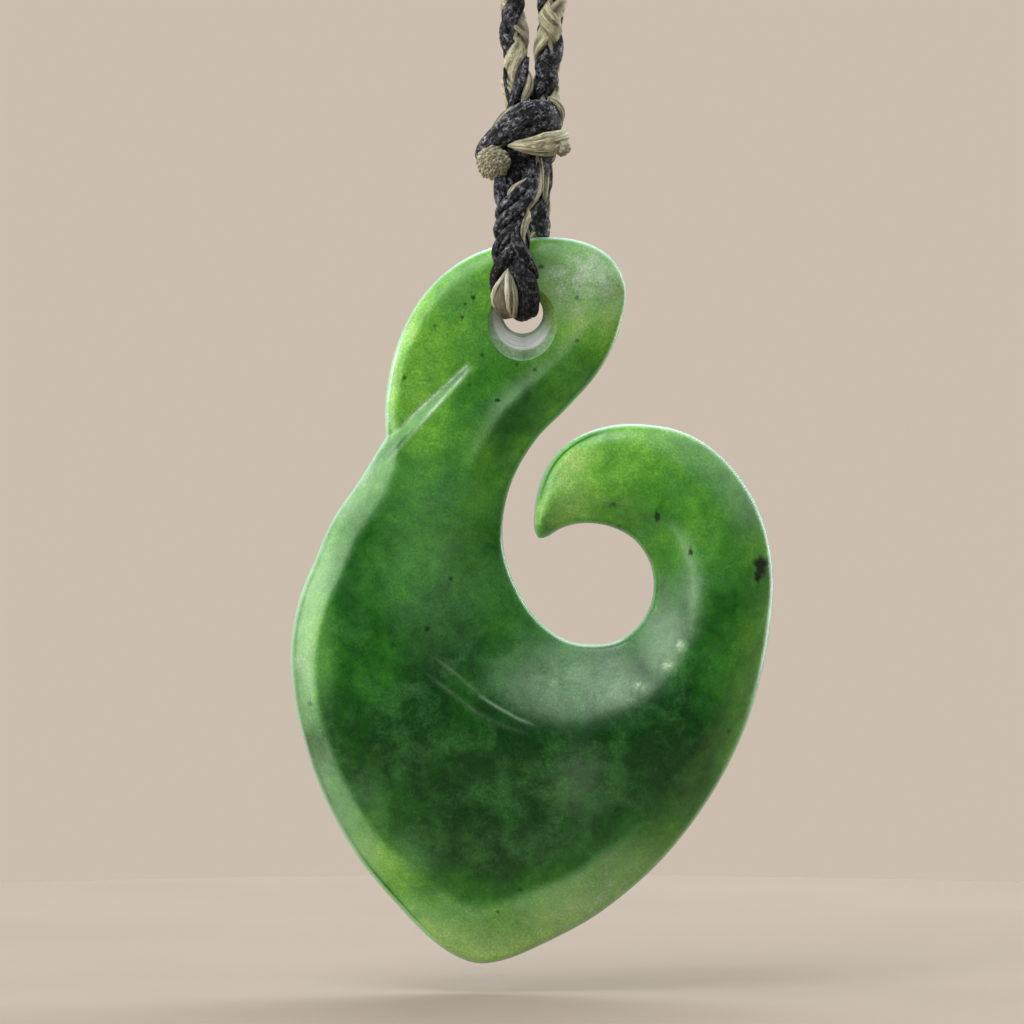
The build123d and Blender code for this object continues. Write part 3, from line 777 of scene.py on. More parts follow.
def strand(line, thin_way, wide, tall, plies, twist, sides, groove, seed):
    """One strand as a tube with the grooves of its plies.

    wide and tall are half sizes, twist is in radians a metre, groove is the depth as a share
    of the size, and seed shifts the lay and the fibres.
    """
    count = len(line)
    ahead = headings(line)
    thin = unit(thin_way - ahead * np.sum(thin_way * ahead, axis=1, keepdims=True))
    broad = np.cross(ahead, thin)
    far = walked(line)
    wide = np.broadcast_to(wide, (count,))
    tall = np.broadcast_to(tall, (count,))
    turn = circle(sides)
    lay = turn[None, :] - (twist * far)[:, None] + seed
    dip = clamp(np.cos(plies * lay)) ** 4
    size = 1 - groove * dip
    points = (
        line[:, None, :]
        + broad[:, None, :] * (wide[:, None] * np.cos(turn)[None, :] * size)[:, :, None]
        + thin[:, None, :] * (tall[:, None] * np.sin(turn)[None, :] * size)[:, :, None]
    )
    rings = np.arange(count * sides).reshape(count, sides)
    faces = [face for last, now in zip(rings, rings[1:]) for face in bridge(last, now)]
    faces += [tuple(rings[0, ::-1]), tuple(rings[-1])]
    around = 3 * np.abs(((lay / (2 * math.pi)) % 1.0) - 0.5) + seed
    along = np.repeat(far + seed * 0.013, sides)
    return points.reshape(-1, 3), faces, {"along": along, "around": around.ravel(), "groove": dip.ravel()}


def together(parts):
    """Several tubes as one mesh's corners, faces and values."""
    verts, faces, values = [], [], {}
    start = 0
    for part_verts, part_faces, part_values in parts:
        verts.append(part_verts)
        faces.extend(tuple(i + start for i in face) for face in part_faces)
        for key, value in part_values.items():
            values.setdefault(key, []).append(value)
        start += len(part_verts)
    return np.concatenate(verts), faces, {key: np.concatenate(value) for key, value in values.items()}


def plait(line, side, phase, roll):
    """Centre lines and outward directions of the four strands of a round plait."""
    other = np.cross(headings(line), side)
    strands = []
    for hand in (1, -1):
        for half in (0.0, math.pi):
            angle = roll + hand * phase + half
            away = (plait_reach - hand * plait_lift * np.cos(2 * phase)) * MM
            out = side * np.cos(angle)[:, None] + other * np.sin(angle)[:, None]
            strands.append((line + out * away[:, None], out))
    return strands


# ---------------------------------------------------------------- the carved pendant
def on_pendant(across, up):
    return (across - bore_across) * pendant_width, (up - bore_up) * pendant_height


def thickening(z):
    """The THICKENING table at each height, with an even ease between its rows."""
    where = z / pendant_height + bore_up
    value = np.full_like(where, THICKENING[-1][1])
    for (a, low), (b, high) in reversed(list(zip(THICKENING, THICKENING[1:]))):
        value = np.where(where <= b, low + (high - low) * smooth((where - a) / (b - a)), value)
    return value


def blended(p0, p1, p2, p3, share):
    """A point on the smooth curve from p1 to p2."""
    t1 = max(math.dist(p0, p1), 1e-6) ** 0.5
    t2 = t1 + max(math.dist(p1, p2), 1e-6) ** 0.5
    t3 = t2 + max(math.dist(p2, p3), 1e-6) ** 0.5
    t = t1 + (t2 - t1) * share
    place = []
    for a, b, c, d in zip(p0, p1, p2, p3):
        ab = a + (b - a) * t / t1
        bc = b + (c - b) * (t - t1) / (t2 - t1)
        cd = c + (d - c) * (t - t2) / (t3 - t2)
        abc = ab + (bc - ab) * t / t2
        bcd = bc + (cd - bc) * (t - t1) / (t3 - t1)
        place.append(abc + (bcd - abc) * (t - t1) / (t2 - t1))
    return place


def traced_outline():
    """Points round the outline in millimetres, with bevel widths and a mark for the inside edge."""
    corners = [on_pendant(row[0], row[1]) for row in OUTLINE]
    count = len(corners)
    ring = []
    for k in range(count):
        here, after = corners[k], corners[(k + 1) % count]
        before, beyond = corners[k - 1], corners[(k + 2) % count]
        if k == 0:
            before = [2 * h - a for h, a in zip(here, after)]
        if k == count - 1:
            beyond = [2 * a - h for h, a in zip(here, after)]
        low, high = OUTLINE[k][2], OUTLINE[(k + 1) % count][2]
        for share in np.arange(trace_steps) / trace_steps:
            bevel = (low + (high - low) * share) * pendant_width
            ring.append((*blended(before, here, after, beyond, share), bevel, OUTLINE[k][3] == "inner"))
    return np.array(ring)


def nearest(points, trace, inner):
    """Distance of each point to the runs of one edge of the outline, and the bevel width there."""
    chosen = trace[:, 3] == inner
    a, b = trace[chosen], np.roll(trace, -1, axis=0)[chosen]
    run = b[:, :2] - a[:, :2]
    size = np.maximum((run**2).sum(1), 1e-12)
    gaps, bevels = [], []
    for start in range(0, len(points), chunk):
        part = points[start : start + chunk]
        offset = part[:, None, :] - a[None, :, :2]
        share = clamp((offset * run[None]).sum(2) / size)
        square = ((offset - share[:, :, None] * run[None]) ** 2).sum(2)
        best = square.argmin(1)
        rows = np.arange(len(part))
        gaps.append(np.sqrt(square[rows, best]))
        mix = share[rows, best]
        bevels.append(a[best, 2] * (1 - mix) + b[best, 2] * mix)
    return np.concatenate(gaps), np.concatenate(bevels)


def edge_gap(points, trace):
    """Distance of each point to the outline."""
    return np.minimum(nearest(points, trace, 0)[0], nearest(points, trace, 1)[0])


def ledge_frame():
    """Start of the ledge line, its unit direction and its length."""
    ax, az = on_pendant(*LEDGE[0])
    bx, bz = on_pendant(*LEDGE[1])
    long = math.hypot(bx - ax, bz - az)
    return ax, az, (bx - ax) / long, (bz - az) / long, long


def by_ledge(x, z):
    """Share of the way along the ledge line at each place, and the distance to its right."""
    ax, az, ux, uz, long = ledge_frame()
    return ((x - ax) * ux + (z - az) * uz) / long, (x - ax) * uz - (z - az) * ux


def wing_cut(x, z):
    """How far the wing lies below the neck at each place."""
    along, side = by_ledge(x, z)
    depth = wing_drop * clamp(along) ** 0.8
    return depth * np.where(side < 0, smooth(1 + side / ledge_width), clamp(1 - side / wing_reach) ** 1.5)


def on_ledge(x, z):
    """Painted highlight on the slope of the ledge, brightest on its two edges, and the painted shadow of
    the duller strip between them.
    """
    along, side = by_ledge(x, z)
    width = ledge_width * (0.30 + 1.15 * np.clip(along, 0, 1.2))
    strip = 0.34 * clamp(1.2 - np.abs(side + 0.5 * width) / (0.5 * width))
    edges = bell(side - 0.05, 0.13) + 0.8 * bell(side + width, 0.15)
    ends = clamp((along + 0.02) / 0.06) * clamp((1.5 - along) / 0.5)
    return np.maximum(strip, 0.88 * edges) * ends, clamp(strip - 0.5 * edges) * ends


def face_height(points, trace, with_wing):
    """Height of a face over the middle plane, and how many bevel widths each edge is away."""
    x, z = points[:, 0], points[:, 1]
    outer_gap, outer_bevel = nearest(points, trace, 0)
    inner_gap, inner_bevel = nearest(points, trace, 1)
    gap = np.minimum(outer_gap, inner_gap)
    outer_share, inner_share = outer_gap / outer_bevel, inner_gap / inner_bevel
    rim = rim_thickness / 2
    grown = thickening(z)
    crown = (head_thickness + (belly_thickness - head_thickness) * grown) / 2
    crown = crown - dome_drop * grown * (1 - clamp(gap / dome_reach)) ** 2
    tip_x, tip_z = on_pendant(*HOOK_TIP)
    on_hook = (x > tip_x - tip_margin) * clamp((z / pendant_height + bore_up - hook_from) / hook_fade)
    crown = crown - tip_drop * on_hook * bell(np.hypot(x - tip_x, z - tip_z), tip_reach)
    outer = 1 - (1 - clamp(outer_share)) ** outer_curve
    crisp = clamp((z + crisp_from) / crisp_fade) * (1 - on_hook)
    rounded = 1 - clamp(1 - inner_share / inner_stretch) ** inner_curve
    inner = crisp * clamp(inner_share) ** crisp_curve + (1 - crisp) * rounded
    share = np.maximum(0, 1 - np.hypot(1 - outer, 1 - inner))
    height = rim + (crown - rim) * share
    if with_wing:
        height = height - wing_cut(x, z)
    height = np.maximum(height, rim)
    height = height - rim_round * (1 - np.sqrt(1 - (1 - clamp(gap / rim_round)) ** 2))
    return height, outer_share, inner_share, gap


def streak_lines(step):
    """Each streak with points along it at even steps, and the distance walked at each of them."""
    for _, half, strength, places in STREAKS:
        line = np.array([on_pendant(*place) for place in places])
        marks = np.arange(0, walked(line)[-1], step)
        yield half, strength, at_distances(line, marks), marks


def on_streaks(points):
    """How pale the painted highlights of the fine lines make each place."""
    pale = np.zeros(len(points))
    for half, strength, dots, marks in streak_lines(step=0.05):
        gaps = np.hypot(points[:, :1] - dots[None, :, 0], points[:, 1:] - dots[None, :, 1])
        ends = clamp(np.minimum(marks, marks[-1] - marks) / (0.2 * marks[-1]))[gaps.argmin(1)]
        pale = np.maximum(pale, strength * ends * bell(gaps.min(1), half))
    return pale


def on_specks(points):
    """How dark the inclusions make each place. Their rims are ragged."""
    dark = np.zeros(len(points))
    for number, (across, up, size, long, strength) in enumerate(SPECKS):
        cx, cz = on_pendant(across, up)
        dx, dz = (points[:, 0] - cx) / size, (points[:, 1] - cz) / long
        angle = np.arctan2(dz, dx)
        rag = 1 + 0.11 * np.sin(3 * angle + number) + 0.15 * np.sin(5 * angle + 2.3 * number)
        dark = np.maximum(dark, strength * clamp(2.0 - np.hypot(dx, dz) / rag * 1.6))
    return dark


def soft_spot(points, across, up, wide, tall):
    """A soft oval patch, 1 in its middle. wide and tall are half sizes in millimetres."""
    cx, cz = on_pendant(across, up)
    return smooth(1.3 - np.hypot((points[:, 0] - cx) / wide, (points[:, 1] - cz) / tall))


def inside_shape(points, ring):
    inside = np.zeros(len(points), dtype=bool)
    x, z = points[:, 0], points[:, 1]
    for here, last in zip(ring, np.roll(ring, 1, axis=0)):
        if here[1] == last[1]:
            continue
        crossing = (here[1] > z) != (last[1] > z)
        cut = here[0] + (z - here[1]) / (last[1] - here[1]) * (last[0] - here[0])
        inside ^= crossing & (x < cut)
    return inside


def oval(width, length, drop):
    turn = circle(bore_sides)
    return np.stack([width / 2 * np.sin(turn), length / 2 * np.cos(turn) - drop], axis=1)


def far_from(points, others, gap):
    keep = np.ones(len(points), dtype=bool)
    for start in range(0, len(points), chunk):
        part = points[start : start + chunk]
        square = ((part[:, None, :] - others[None, :, :]) ** 2).sum(2).min(1)
        keep[start : start + chunk] = square > gap * gap
    return keep


def border_points(trace):
    """Corners of the mesh along the outline, closer together at the tip of the hook."""
    far = walked(trace[:, :2])
    tip = np.array(on_pendant(*HOOK_TIP))
    kept = [0]
    for k in range(1, len(trace)):
        step = tip_step if np.linalg.norm(trace[k, :2] - tip) < tip_zone else border_step
        if far[k] - far[kept[-1]] >= step:
            kept.append(k)
    return trace[kept, :2]


def fine_points(trace):
    """Close corners where a mark on the stone needs them."""
    fine = []
    # Round each inclusion
    for across, up, size, long, _ in SPECKS:
        cx, cz = on_pendant(across, up)
        reach = ragged_reach * max(size, long)
        ticks = np.arange(-reach, reach + speck_step, speck_step)
        gx, gz = np.meshgrid(ticks, ticks)
        gx = gx + 0.5 * speck_step * (np.arange(len(ticks))[:, None] % 2)
        near = np.hypot(gx, gz) < reach
        fine.append(np.stack([cx + gx[near], cz + gz[near]], axis=1))
    # Along the crest of the inside bevel
    inner = trace[trace[:, 3] == 1][::3]
    into = rightwards(headings(inner[:, :2]))
    for offset in CREST_GAPS:
        away = inner[:, 2] + offset
        crest = inner[:, :2] + into * away[:, None]
        clear = (nearest(crest, trace, 1)[0] > 0.97 * away) & (nearest(crest, trace, 0)[0] > crest_inset)
        fine.append(crest[clear])
    # Over the ledge
    ax, az, ux, uz, long = ledge_frame()
    lengthwise = np.arange(-0.3, 1.45 * long, ledge_step)
    along, side = np.meshgrid(lengthwise, np.arange(-1.35, 0.45, across_ledge_step))
    along, side = along.ravel(), side.ravel()
    fine.append(np.stack([ax + along * ux + side * uz, az + along * uz - side * ux], axis=1))
    # Along the streaks
    for half, _, dots, _ in streak_lines(streak_step):
        beside = rightwards(headings(dots))
        fine.extend(dots + offset * half * beside for offset in STREAK_ROWS)
    fine = np.concatenate(fine)
    firsts = np.unique(np.round(fine / same_place), axis=0, return_index=True)[1]
    return fine[np.sort(firsts)]


def grid_points():
    """Corners on an even grid over the whole pendant."""
    x_low, z_low = on_pendant(0, 0)
    x_high, z_high = on_pendant(1, 1)
    row_step = grid_step * math.sqrt(3) / 2
    grid = []
    for k in range(int((z_high - z_low) / row_step) + 1):
        xs = np.arange(x_low, x_high, grid_step) + 0.5 * grid_step * (k % 2)
        grid.append(np.stack([xs, np.full_like(xs, z_low + k * row_step)], axis=1))
    return np.concatenate(grid)


def stone_values(spots, low, back, outer, inner, gap):
    """What the material reads at each place of the front and of the back."""
    swell = belly_thickness - rim_thickness
    crown = head_thickness + (belly_thickness - head_thickness) * thickening(spots[:, 1])
    thick = 0.20 * ((low + back - rim_thickness) / swell) + 0.80 * ((crown - rim_thickness) / swell)
    # Bands on the stone: the groove band is where a painted dark line goes inside the bright rim, and the
    # rim band is where a painted highlight goes
    band = {
        "face": 1.0,
        "inner": clamp((1.08 - inner) / 0.16),
        "outer": clamp(1.1 - outer),
        "slope": clamp((1.06 - outer) / 0.20),
        "crest": bell(inner - 1.08, np.where(inner > 1.08, 0.26, 0.11)),
        "groove": bell(gap - 0.36, 0.07) * (inner > outer),
        "rim": bell(gap - 0.20, 0.13),
    }
    for on, across, up, wide, tall, amount in TONES_AND_PAINTED_LIGHT:
        thick = thick + amount * band[on] * soft_spot(spots, across, up, wide, tall)
    # Painted sheen of reflections and highlights; the painted highlights of the ledge, the fine lines and
    # the small spots go on the front only
    haze = np.zeros(len(spots))
    ledge, strip = on_ledge(spots[:, 0], spots[:, 1])
    front_only = np.maximum(ledge, on_streaks(spots))
    for on, across, up, wide, tall, amount in PAINTED_SHEENS:
        gleam = amount * band[on] * soft_spot(spots, across, up, wide, tall)
        if wide < small_mark:
            front_only = np.maximum(front_only, gleam)
        else:
            haze = np.maximum(haze, gleam)
    # Painted highlight along the polished rim, weaker on the inside edge
    edge = clamp((0.22 - gap) / 0.13) * np.where(inner < outer, 0.55, 1.0)
    # On the front, the ledge's strip between its edges is darkened with painted shadow
    front = {"thick": thick + 0.9 * strip, "haze": np.maximum(haze, front_only), "speck": on_specks(spots)}
    return {"edge": edge, **front}, {"edge": edge, "thick": thick, "haze": haze}


class Skin:
    """Corners, faces and corner values of a mesh that grows part by part."""

    def __init__(self):
        self.verts, self.faces, self.count = [], [], 0
        self.values = {key: [] for key in STONE_VALUES}

    def add(self, corners, **given):
        """Adds corners with the given values, and 0 for the rest. Returns their numbers."""
        self.verts.append(corners)
        for key, rows in self.values.items():
            rows.append(np.broadcast_to(given.get(key, 0.0), (len(corners),)))
        self.count += len(corners)
        return np.arange(self.count - len(corners), self.count)


def pendant_mesh():
    trace = traced_outline()
    border = border_points(trace)

    # Rows inside the border that round the rim and climb the bevel
    inward = rightwards(unit(np.roll(border, -1, axis=0) - np.roll(border, 1, axis=0)))
    rows = []
    for gap in ROW_GAPS:
        moved = border + inward * gap
        rows.append(moved[(edge_gap(moved, trace) > 0.93 * gap) & inside_shape(moved, border)])
    rows = np.concatenate(rows)
    fine = fine_points(trace)
    fine = fine[inside_shape(fine, border) & (edge_gap(fine, trace) > fine_inset)]
    fine = fine[far_from(fine, rows, fine_apart)]
    grid = grid_points()
    grid = grid[inside_shape(grid, border)]
    grid = grid[edge_gap(grid, trace) > grid_inset]
    grid = grid[far_from(grid, fine, grid_apart) & far_from(grid, rows, grid_apart)]

    # One face of the stone, with the outline and the countersink's rim as fixed edges
    sink = oval(countersink_width, countersink_length, countersink_drop)
    bore = oval(bore_diameter, bore_diameter, 0.0)
    kept_clear = oval(countersink_width + sink_margin, countersink_length + sink_margin, countersink_drop)
    loose = np.concatenate([rows, fine, grid])
    loose = loose[~inside_shape(loose, kept_clear)]
    flat = np.concatenate([border, sink, loose])
    rim_count = len(border)
    edges = [(k, (k + 1) % rim_count) for k in range(rim_count)]
    edges += [(rim_count + k, rim_count + (k + 1) % bore_sides) for k in range(bore_sides)]
    result = delaunay_2d_cdt([Vector(p) for p in flat], edges, [], 1, 1e-9)
    spots = np.array([v[:] for v in result[0]])
    triangles = np.array([face[:] for face in result[2]])
    triangles = triangles[~inside_shape(spots[triangles].mean(axis=1), sink)]
    where = {ids[0] if ids else -1: k for k, ids in enumerate(result[3])}
    rim_ids = np.array([where[k] for k in range(rim_count)])
    sink_ids = np.array([where[rim_count + k] for k in range(bore_sides)])

    low, outer, inner, gap = face_height(spots, trace, True)
    back = face_height(spots, trace, False)[0]
    front_values, back_values = stone_values(spots, low, back, outer, inner, gap)
    # How much light from above each side of the countersink catches: most at its lower left
    turn = circle(bore_sides)
    facing = -0.35 * np.sin(turn) - 0.94 * np.cos(turn)
    deep = head_thickness / 2 - countersink_depth
    skin = Skin()
    rims, bores = [], []
    for side, height, values in ((-1, low, front_values), (1, back, back_values)):
        flipped = side > 0
        ids = skin.add(np.stack([spots[:, 0], side * height, spots[:, 1]], axis=1), **values)
        skin.faces += [tuple(face) for face in ids[triangles[:, ::-1] if flipped else triangles]]
        rims.append(ids[rim_ids])
        last = ids[sink_ids]

        # Countersink, in rings from its rim down to the bore. By how much light each side catches, it gets
        # a painted highlight on its mouth's edge and on the scratched ring, and less frosting and a lighter
        # green painted on the side in shade
        mouth = height[sink_ids]
        for share in SINK_RINGS:
            ring = sink + (bore - sink) * share
            fall = mouth + (deep - mouth) * share**sink_curve
            now = skin.add(
                np.stack([ring[:, 0], side * fall, ring[:, 1]], axis=1),
                thick=back_values["thick"][sink_ids] * (1 - 0.4 * share) - 0.45 * clamp(-facing),
                edge=clamp(0.3 + 0.8 * facing) * (share < 0.06),
                sunk=np.clip(0.7 + 0.8 * facing, 0.25, 0.95) * (share > 0.06),
                ring=share,
                white=clamp(0.55 + 0.75 * facing),
            )
            skin.faces += bridge(last, now, flipped)
            last = now
        bores.append(last)

    # Walls of the rim and of the bore, front to back
    corners = np.concatenate(skin.verts)
    for (front, rear), flipped, values in (
        # The rim wall gets a weaker painted rim highlight, and both walls a little painted sheen
        (rims, True, {"thick": 0.05, "edge": 0.55}),
        (bores, False, {"thick": 0.3, "sunk": 0.35}),
    ):
        last = front
        for share in np.arange(1, wall_steps) / wall_steps:
            wall = corners[front] * (1 - share) + corners[rear] * share
            now = skin.add(wall, haze=0.1, ring=1.0 + share, **values)
            skin.faces += bridge(last, now, flipped)
            last = now
        skin.faces += bridge(last, rear, flipped)
    corners = (np.concatenate(skin.verts) + np.array([0, 0, bore_z])) * MM
    return corners, skin.faces, {key: np.concatenate(rows) for key, rows in skin.values.items()}


pendant = make_piece("carved_hook", pendant_mesh(), greenstone(), "hook", "hook_pendant")
pendant.data.set_sharp_from_angle(angle=math.radians(48))

# ---------------------------------------------------------------- the cord
TWINES = {
    # colour: dark, middle, light, glint, sheen, gloss
    "black": twine(
        "black_cord", (0.001, 0.001, 0.002), (0.006, 0.006, 0.008),
        (0.060, 0.060, 0.068), (0.62, 0.63, 0.68), 0.0, 0.16,
    ),
    "tan": twine(
        "tan_cord", (0.062, 0.054, 0.024), (0.580, 0.530, 0.310),
        (0.930, 0.880, 0.630), (0.95, 0.91, 0.72), 0.05, 0.35,
    ),
    # A lighter copy of the tan cord, with painted light, for the leaf's yarns that face the front
    "pale": twine(
        "lit_tan_cord", (0.050, 0.042, 0.018), (0.820, 0.760, 0.500),
        (1.000, 0.970, 0.790), (1.00, 0.98, 0.85), 0.05, 0.45,
    ),
}


def make_cord(name, groups, node):
    """One piece for each colour's tubes, all in the place of one CAD node."""
    for colour, tubes in groups.items():
        make_piece(name + colour, together(tubes), TWINES[colour], "cord", node)


# Neck loop: two black and two tan strands in a round plait
tuck = 1.6
inside_left = (-0.30, NECK_ROUTE[0][1] - tuck)
inside_right = (1.30, NECK_ROUTE[-1][1] - tuck)
neck_route = [inside_left, *NECK_ROUTE, inside_right]
neck_line = route_line([(across * MM, 0.0, (knot_top + above) * MM) for across, above in neck_route])
neck_long = walked(neck_line)[-1]
# The rings of the plait lie close over a stretch at each end, which the photo shows, and coarse between
close, coarse, stretch = 0.20 * MM, 0.62 * MM, 24 * MM
spots = np.concatenate(
    [
        np.arange(0, stretch, close),
        np.arange(stretch, neck_long - stretch, coarse),
        np.arange(neck_long - stretch, neck_long, close),
    ]
)
neck_line = at_distances(neck_line, spots)
# How far from each end of the loop the first tan strand faces the front, and about how long a turn is
first_front, last_front, near_pitch = (3.43 + tuck) * MM, (5.84 + tuck) * MM, 6.7 * MM
run = neck_long - first_front - last_front
turns = round(run / near_pitch - 0.75) + 0.75
phase = -math.pi / 2 + 2 * math.pi * turns * (spots - first_front) / run
roll = math.pi / 2 * spots / neck_long
groups = {"tan": [], "black": []}
for number, (line, out) in enumerate(plait(neck_line, carried(neck_line, (1, 0, 0)), phase, roll)):
    tube = strand(
        line, out, wide=0.70 * MM, tall=0.36 * MM,
        plies=4, twist=350.0, sides=14, groove=0.20, seed=0.37 * number,
    )
    groups["tan" if number % 2 == 0 else "black"].append(tube)
make_cord("neck_plait_", groups, "neck_cord")

# Hanging loop: three black strands and one tan strand, opened out where it goes into the bore
hang_route = []
inside_back = (0.85, -0.20, 11.2)
for across, forward, above in [*HANGING_ROUTE, inside_back]:
    lift = bore_lift * max(0.0, 1 - above / knot_to_bore)
    hang_route.append((across * MM, -forward * leg_standoff * MM, (bore_z + above + lift) * MM))
hang_line = route_line(hang_route)
spots = np.arange(0, walked(hang_line)[-1], 0.14 * MM)
hang_line = at_distances(hang_line, spots)
hang_side = carried(hang_line, (1, 0, 0))
easing = np.exp(-np.linspace(-2, 2, 15) ** 2)
easing = easing / easing.sum()


def eased_table(table):
    """The table read along the hanging loop, with its corners eased."""
    values = np.interp(spots / MM, *zip(*table))
    return np.convolve(np.pad(values, 7, mode="edge"), easing, mode="valid")


phase = np.radians(eased_table(PLAIT_TURNS))
open_out = eased_table(PLAIT_OPENING)
groups = {"tan": [], "black": []}
for number, (line, out) in enumerate(plait(hang_line, hang_side, phase, 0.0)):
    offset = line - hang_line
    sideways = np.sum(offset * hang_side, axis=1, keepdims=True) * hang_side
    line = hang_line + offset + sideways * (open_out - 1)[:, None]
    wide = 0.66 * MM * open_out
    colour, plies = "black", 5
    if number == 0:
        colour, plies = "tan", 9
        seen = spots >= tan_begins * MM
        line, out, wide = line[seen], out[seen], wide[seen]
    tube = strand(
        line, out, wide=wide, tall=0.40 * MM,
        plies=plies, twist=120.0, sides=30, groove=0.20, seed=0.41 * number + 2,
    )
    groups[colour].append(tube)
make_cord("hanging_plait_", groups, "hanging_loop")


# Knot, and the strands of the front leg
def from_bore(across, forward, above):
    return np.array([across, -forward, bore_z + above]) * MM


def laid(node, bends, plies, twist, flat, seed):
    """One strand through its bends, with its width eased from bend to bend."""
    line = route_line([from_bore(*bend[:3]) for bend in bends])
    marks = clamp((np.arange(len(bends)) - 0.5) / (len(bends) - 2))
    half = np.interp(np.linspace(0, 1, len(line)), marks, [bend[3] for bend in bends]) * MM
    far = walked(line)
    steps = np.arange(0, far[-1], 0.10 * MM)
    half = np.interp(steps, far, half)
    line = at_distances(line, steps)
    if node == "knot":
        out = line - np.array([0.2 * MM, 0, 0])
        out[:, 2] = 0
    else:
        out = carried(line, (0, -1, 0))
    return strand(line, unit(out), half, half * flat, plies, twist, sides=28, groove=0.20, seed=seed)


knot_groups = {"tan": [], "black": []}
leg_groups = {"tan": [], "pale": [], "black": []}
turn = np.linspace(0, 2 * math.pi, 97)
for number, (_, colour, across, above, wide, deep, tilt, thick, flat) in enumerate(KNOT_TURNS):
    rise = math.tan(math.radians(tilt)) * wide * np.cos(turn)
    ring = np.stack([across + wide * np.cos(turn), -deep * np.sin(turn), bore_z + above + rise], axis=1)
    out = np.stack([np.cos(turn) / wide, -np.sin(turn) / deep, 0 * turn], axis=1)
    size = thick / 2 * MM
    tube = strand(
        ring * MM, unit(out), wide=size, tall=size * flat,
        plies=3, twist=1300.0, sides=28, groove=0.16, seed=0.7 * number,
    )
    knot_groups[colour].append(tube)
for number, (_, node, colour, plies, twist, flat, shade, bends) in enumerate(LAID_STRANDS):
    tube = laid(node, bends, plies, twist, flat, 0.9 * number)
    tube[2]["groove"] = np.maximum(tube[2]["groove"], shade)
    (knot_groups if node == "knot" else leg_groups)[colour].append(tube)
make_cord("knot_turns_", knot_groups, "knot")
make_cord("leg_strands_", leg_groups, "hanging_loop")


def cut_end(name, base, heading, size, length, yarns, node):
    """The cut end of a cord: a short bundle of yarns that splay and end unevenly."""
    ahead = unit(np.array([heading[0], -heading[1], heading[2]], dtype=float))
    side = unit(np.cross(ahead, (0, 0, 1.0)))
    other = np.cross(ahead, side)
    share = np.linspace(0, 1, 16)
    splay = (0.80 + 0.24 * share)[:, None]
    thick = 0.74 * size / math.sqrt(yarns) * MM
    body = thick * np.sqrt(np.clip(1 - clamp((share - 0.80) / 0.21) ** 3.5, 0.03, 1))
    tubes = []
    for k in range(yarns):
        away = 0.45 * size * math.sqrt((k + 0.1) / yarns)
        ends = length * (1.04 - 1.44 * (away / size) ** 2) + 0.04 * math.sin(5.1 * k)
        spin = 2.4 * k + 0.4 * share
        offset = side * np.cos(spin)[:, None] + other * np.sin(spin)[:, None]
        line = from_bore(*base) + ahead * (share * ends * MM)[:, None] + offset * away * MM * splay
        tube = strand(
            line, offset + 1e-6, wide=body * 1.1, tall=body,
            plies=3, twist=1500.0, sides=12, groove=0.10, seed=1.3 * k,
        )
        # Less painted shade in the grooves, and darker by an amount that differs from yarn to yarn
        tube[2]["groove"] = tube[2]["groove"] * 0.3 + 0.2 + 0.2 * math.sin(7.3 * k)
        tubes.append(tube)
    make_piece(name, together(tubes), TWINES["tan"], "cord", node)


cut_end(
    "left_cut_end", base=(-1.72, 1.10, 10.38), heading=(-0.22, 0.96, -0.10),
    size=2.40, length=1.75, yarns=88, node="cord_end_left",
)
cut_end(
    "right_cut_end", base=(2.45, 1.75, 11.50), heading=(0.72, 0.50, -0.48),
    size=0.95, length=0.95, yarns=12, node="cord_end_right",
)

# ---------------------------------------------------------------- stage, light and camera
floor_radius, floor_z, floor_sides = 0.11, -0.3697, 96
floor_rim = [(floor_radius * math.cos(t), floor_radius * math.sin(t), floor_z) for t in circle(floor_sides)]
floor_mesh = bpy.data.meshes.new("floor")
floor_mesh.from_pydata(floor_rim, [], [tuple(range(floor_sides))])
floor_mesh.materials.append(plain_stage("pale_floor", (0.29, 0.235, 0.185)))
add_object("floor", floor_mesh)

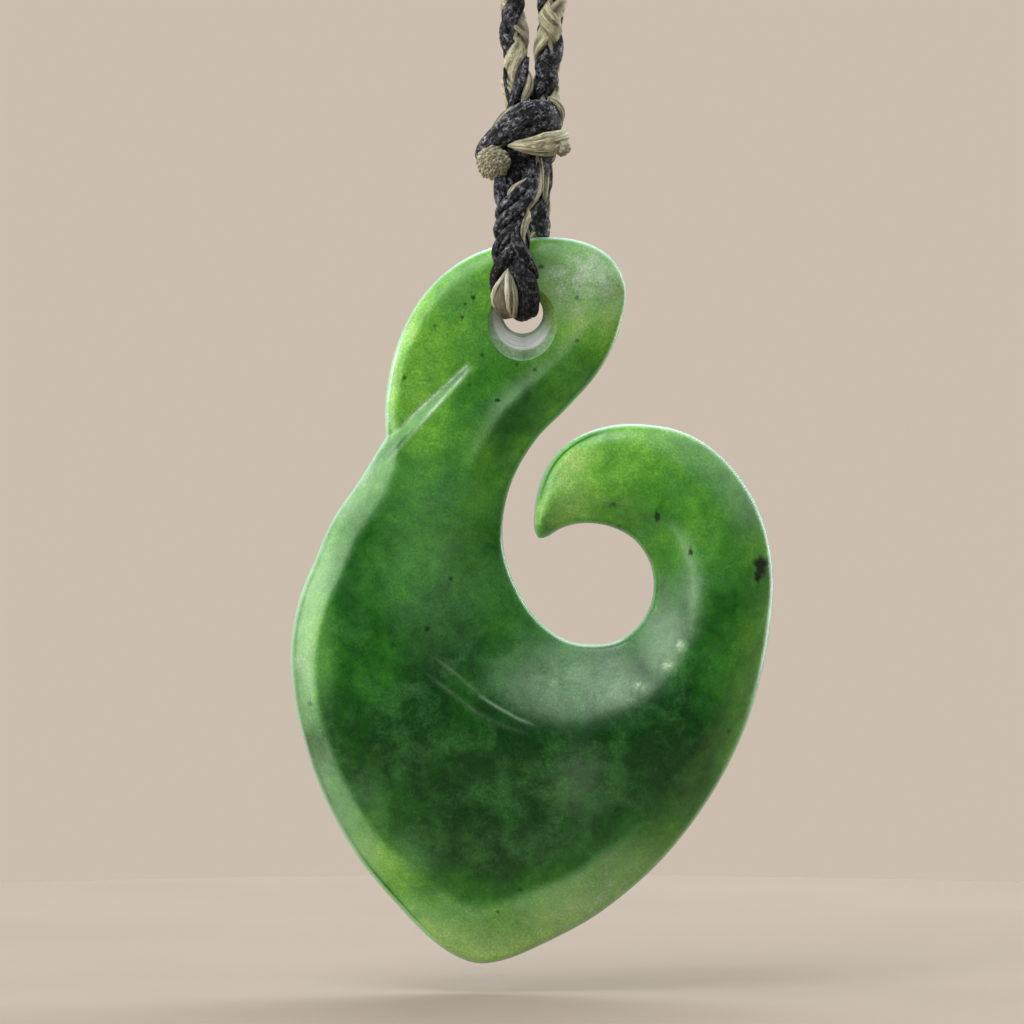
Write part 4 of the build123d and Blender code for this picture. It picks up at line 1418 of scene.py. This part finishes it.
world = bpy.data.worlds.new("studio")
bpy.context.scene.world = world
world.use_nodes = True
tree = world.node_tree
tree.nodes.clear()
out = tree.nodes.new("ShaderNodeOutputWorld")
light = tree.nodes.new("ShaderNodeBackground")
tree.links.new(light.outputs[0], out.inputs[0])
axes = add(tree, "SeparateXYZ", {0: add(tree, "TexCoord", {}, "Generated")}).socket.node.outputs
behind = spread(Wire(axes[1]), -0.85, 0.55)
sky = spread(Wire(axes[2]), 0.05, 0.85)
warm = mixed((0.035, 0.034, 0.032, 1.0), (0.60, 0.51, 0.42, 1.0), behind)
fill(light, {0: mixed(warm, (0.85, 0.88, 0.92, 1.0), sky), 1: 1.0})


def look_from(holder, target, way, distance):
    """Puts a light or the camera that way from its target, and turns it to the target."""
    way = Vector(way).normalized()
    holder.location = target + way * distance
    holder.rotation_euler = way.to_track_quat("Z", "Y").to_euler()


# Soft lights, by the direction that they come from as seen from the pendant
LIGHTS = [
    # name, (across, back, up), distance, width, height, watts, colour
    ("left_soft", (-1.00, -0.05, 0.10), 0.50, 0.26, 0.60, 2.2, (1.0, 0.97, 0.93)),
    ("top_front_soft", (-0.25, -0.50, 0.95), 0.55, 0.30, 0.22, 1.35, (0.95, 0.98, 1.0)),
    ("front_left_soft", (-0.78, -0.62, 0.32), 0.60, 0.20, 0.35, 1.1, (1.0, 0.98, 0.95)),
    ("right_back_soft", (0.85, 0.60, 0.15), 0.50, 0.20, 0.50, 2.0, (0.95, 0.98, 1.0)),
    ("top_back_soft", (0.10, 0.75, 0.80), 0.50, 0.50, 0.30, 1.6, (0.92, 0.97, 1.0)),
]
for name, way, distance, width, height, watts, colour in LIGHTS:
    lamp = bpy.data.lights.new(name, "AREA")
    lamp.shape = "RECTANGLE"
    lamp.size, lamp.size_y = width, height
    lamp.energy = watts
    lamp.color = colour
    holder = add_object(name, lamp)
    look_from(holder, Vector((0, 0, -0.343)), way, distance)
    holder.visible_camera = False

lens = bpy.data.cameras.new("camera")
lens.sensor_width = 36
lens.lens = 229.5
lens.clip_start = 0.01
camera = add_object("camera", lens)
look_from(camera, Vector((-0.74 * MM, 0, -336.55 * MM)), (0.02, -1.0, 0.018), 0.45)
bpy.context.scene.camera = camera
bpy.context.scene.view_settings.view_transform = "Standard"
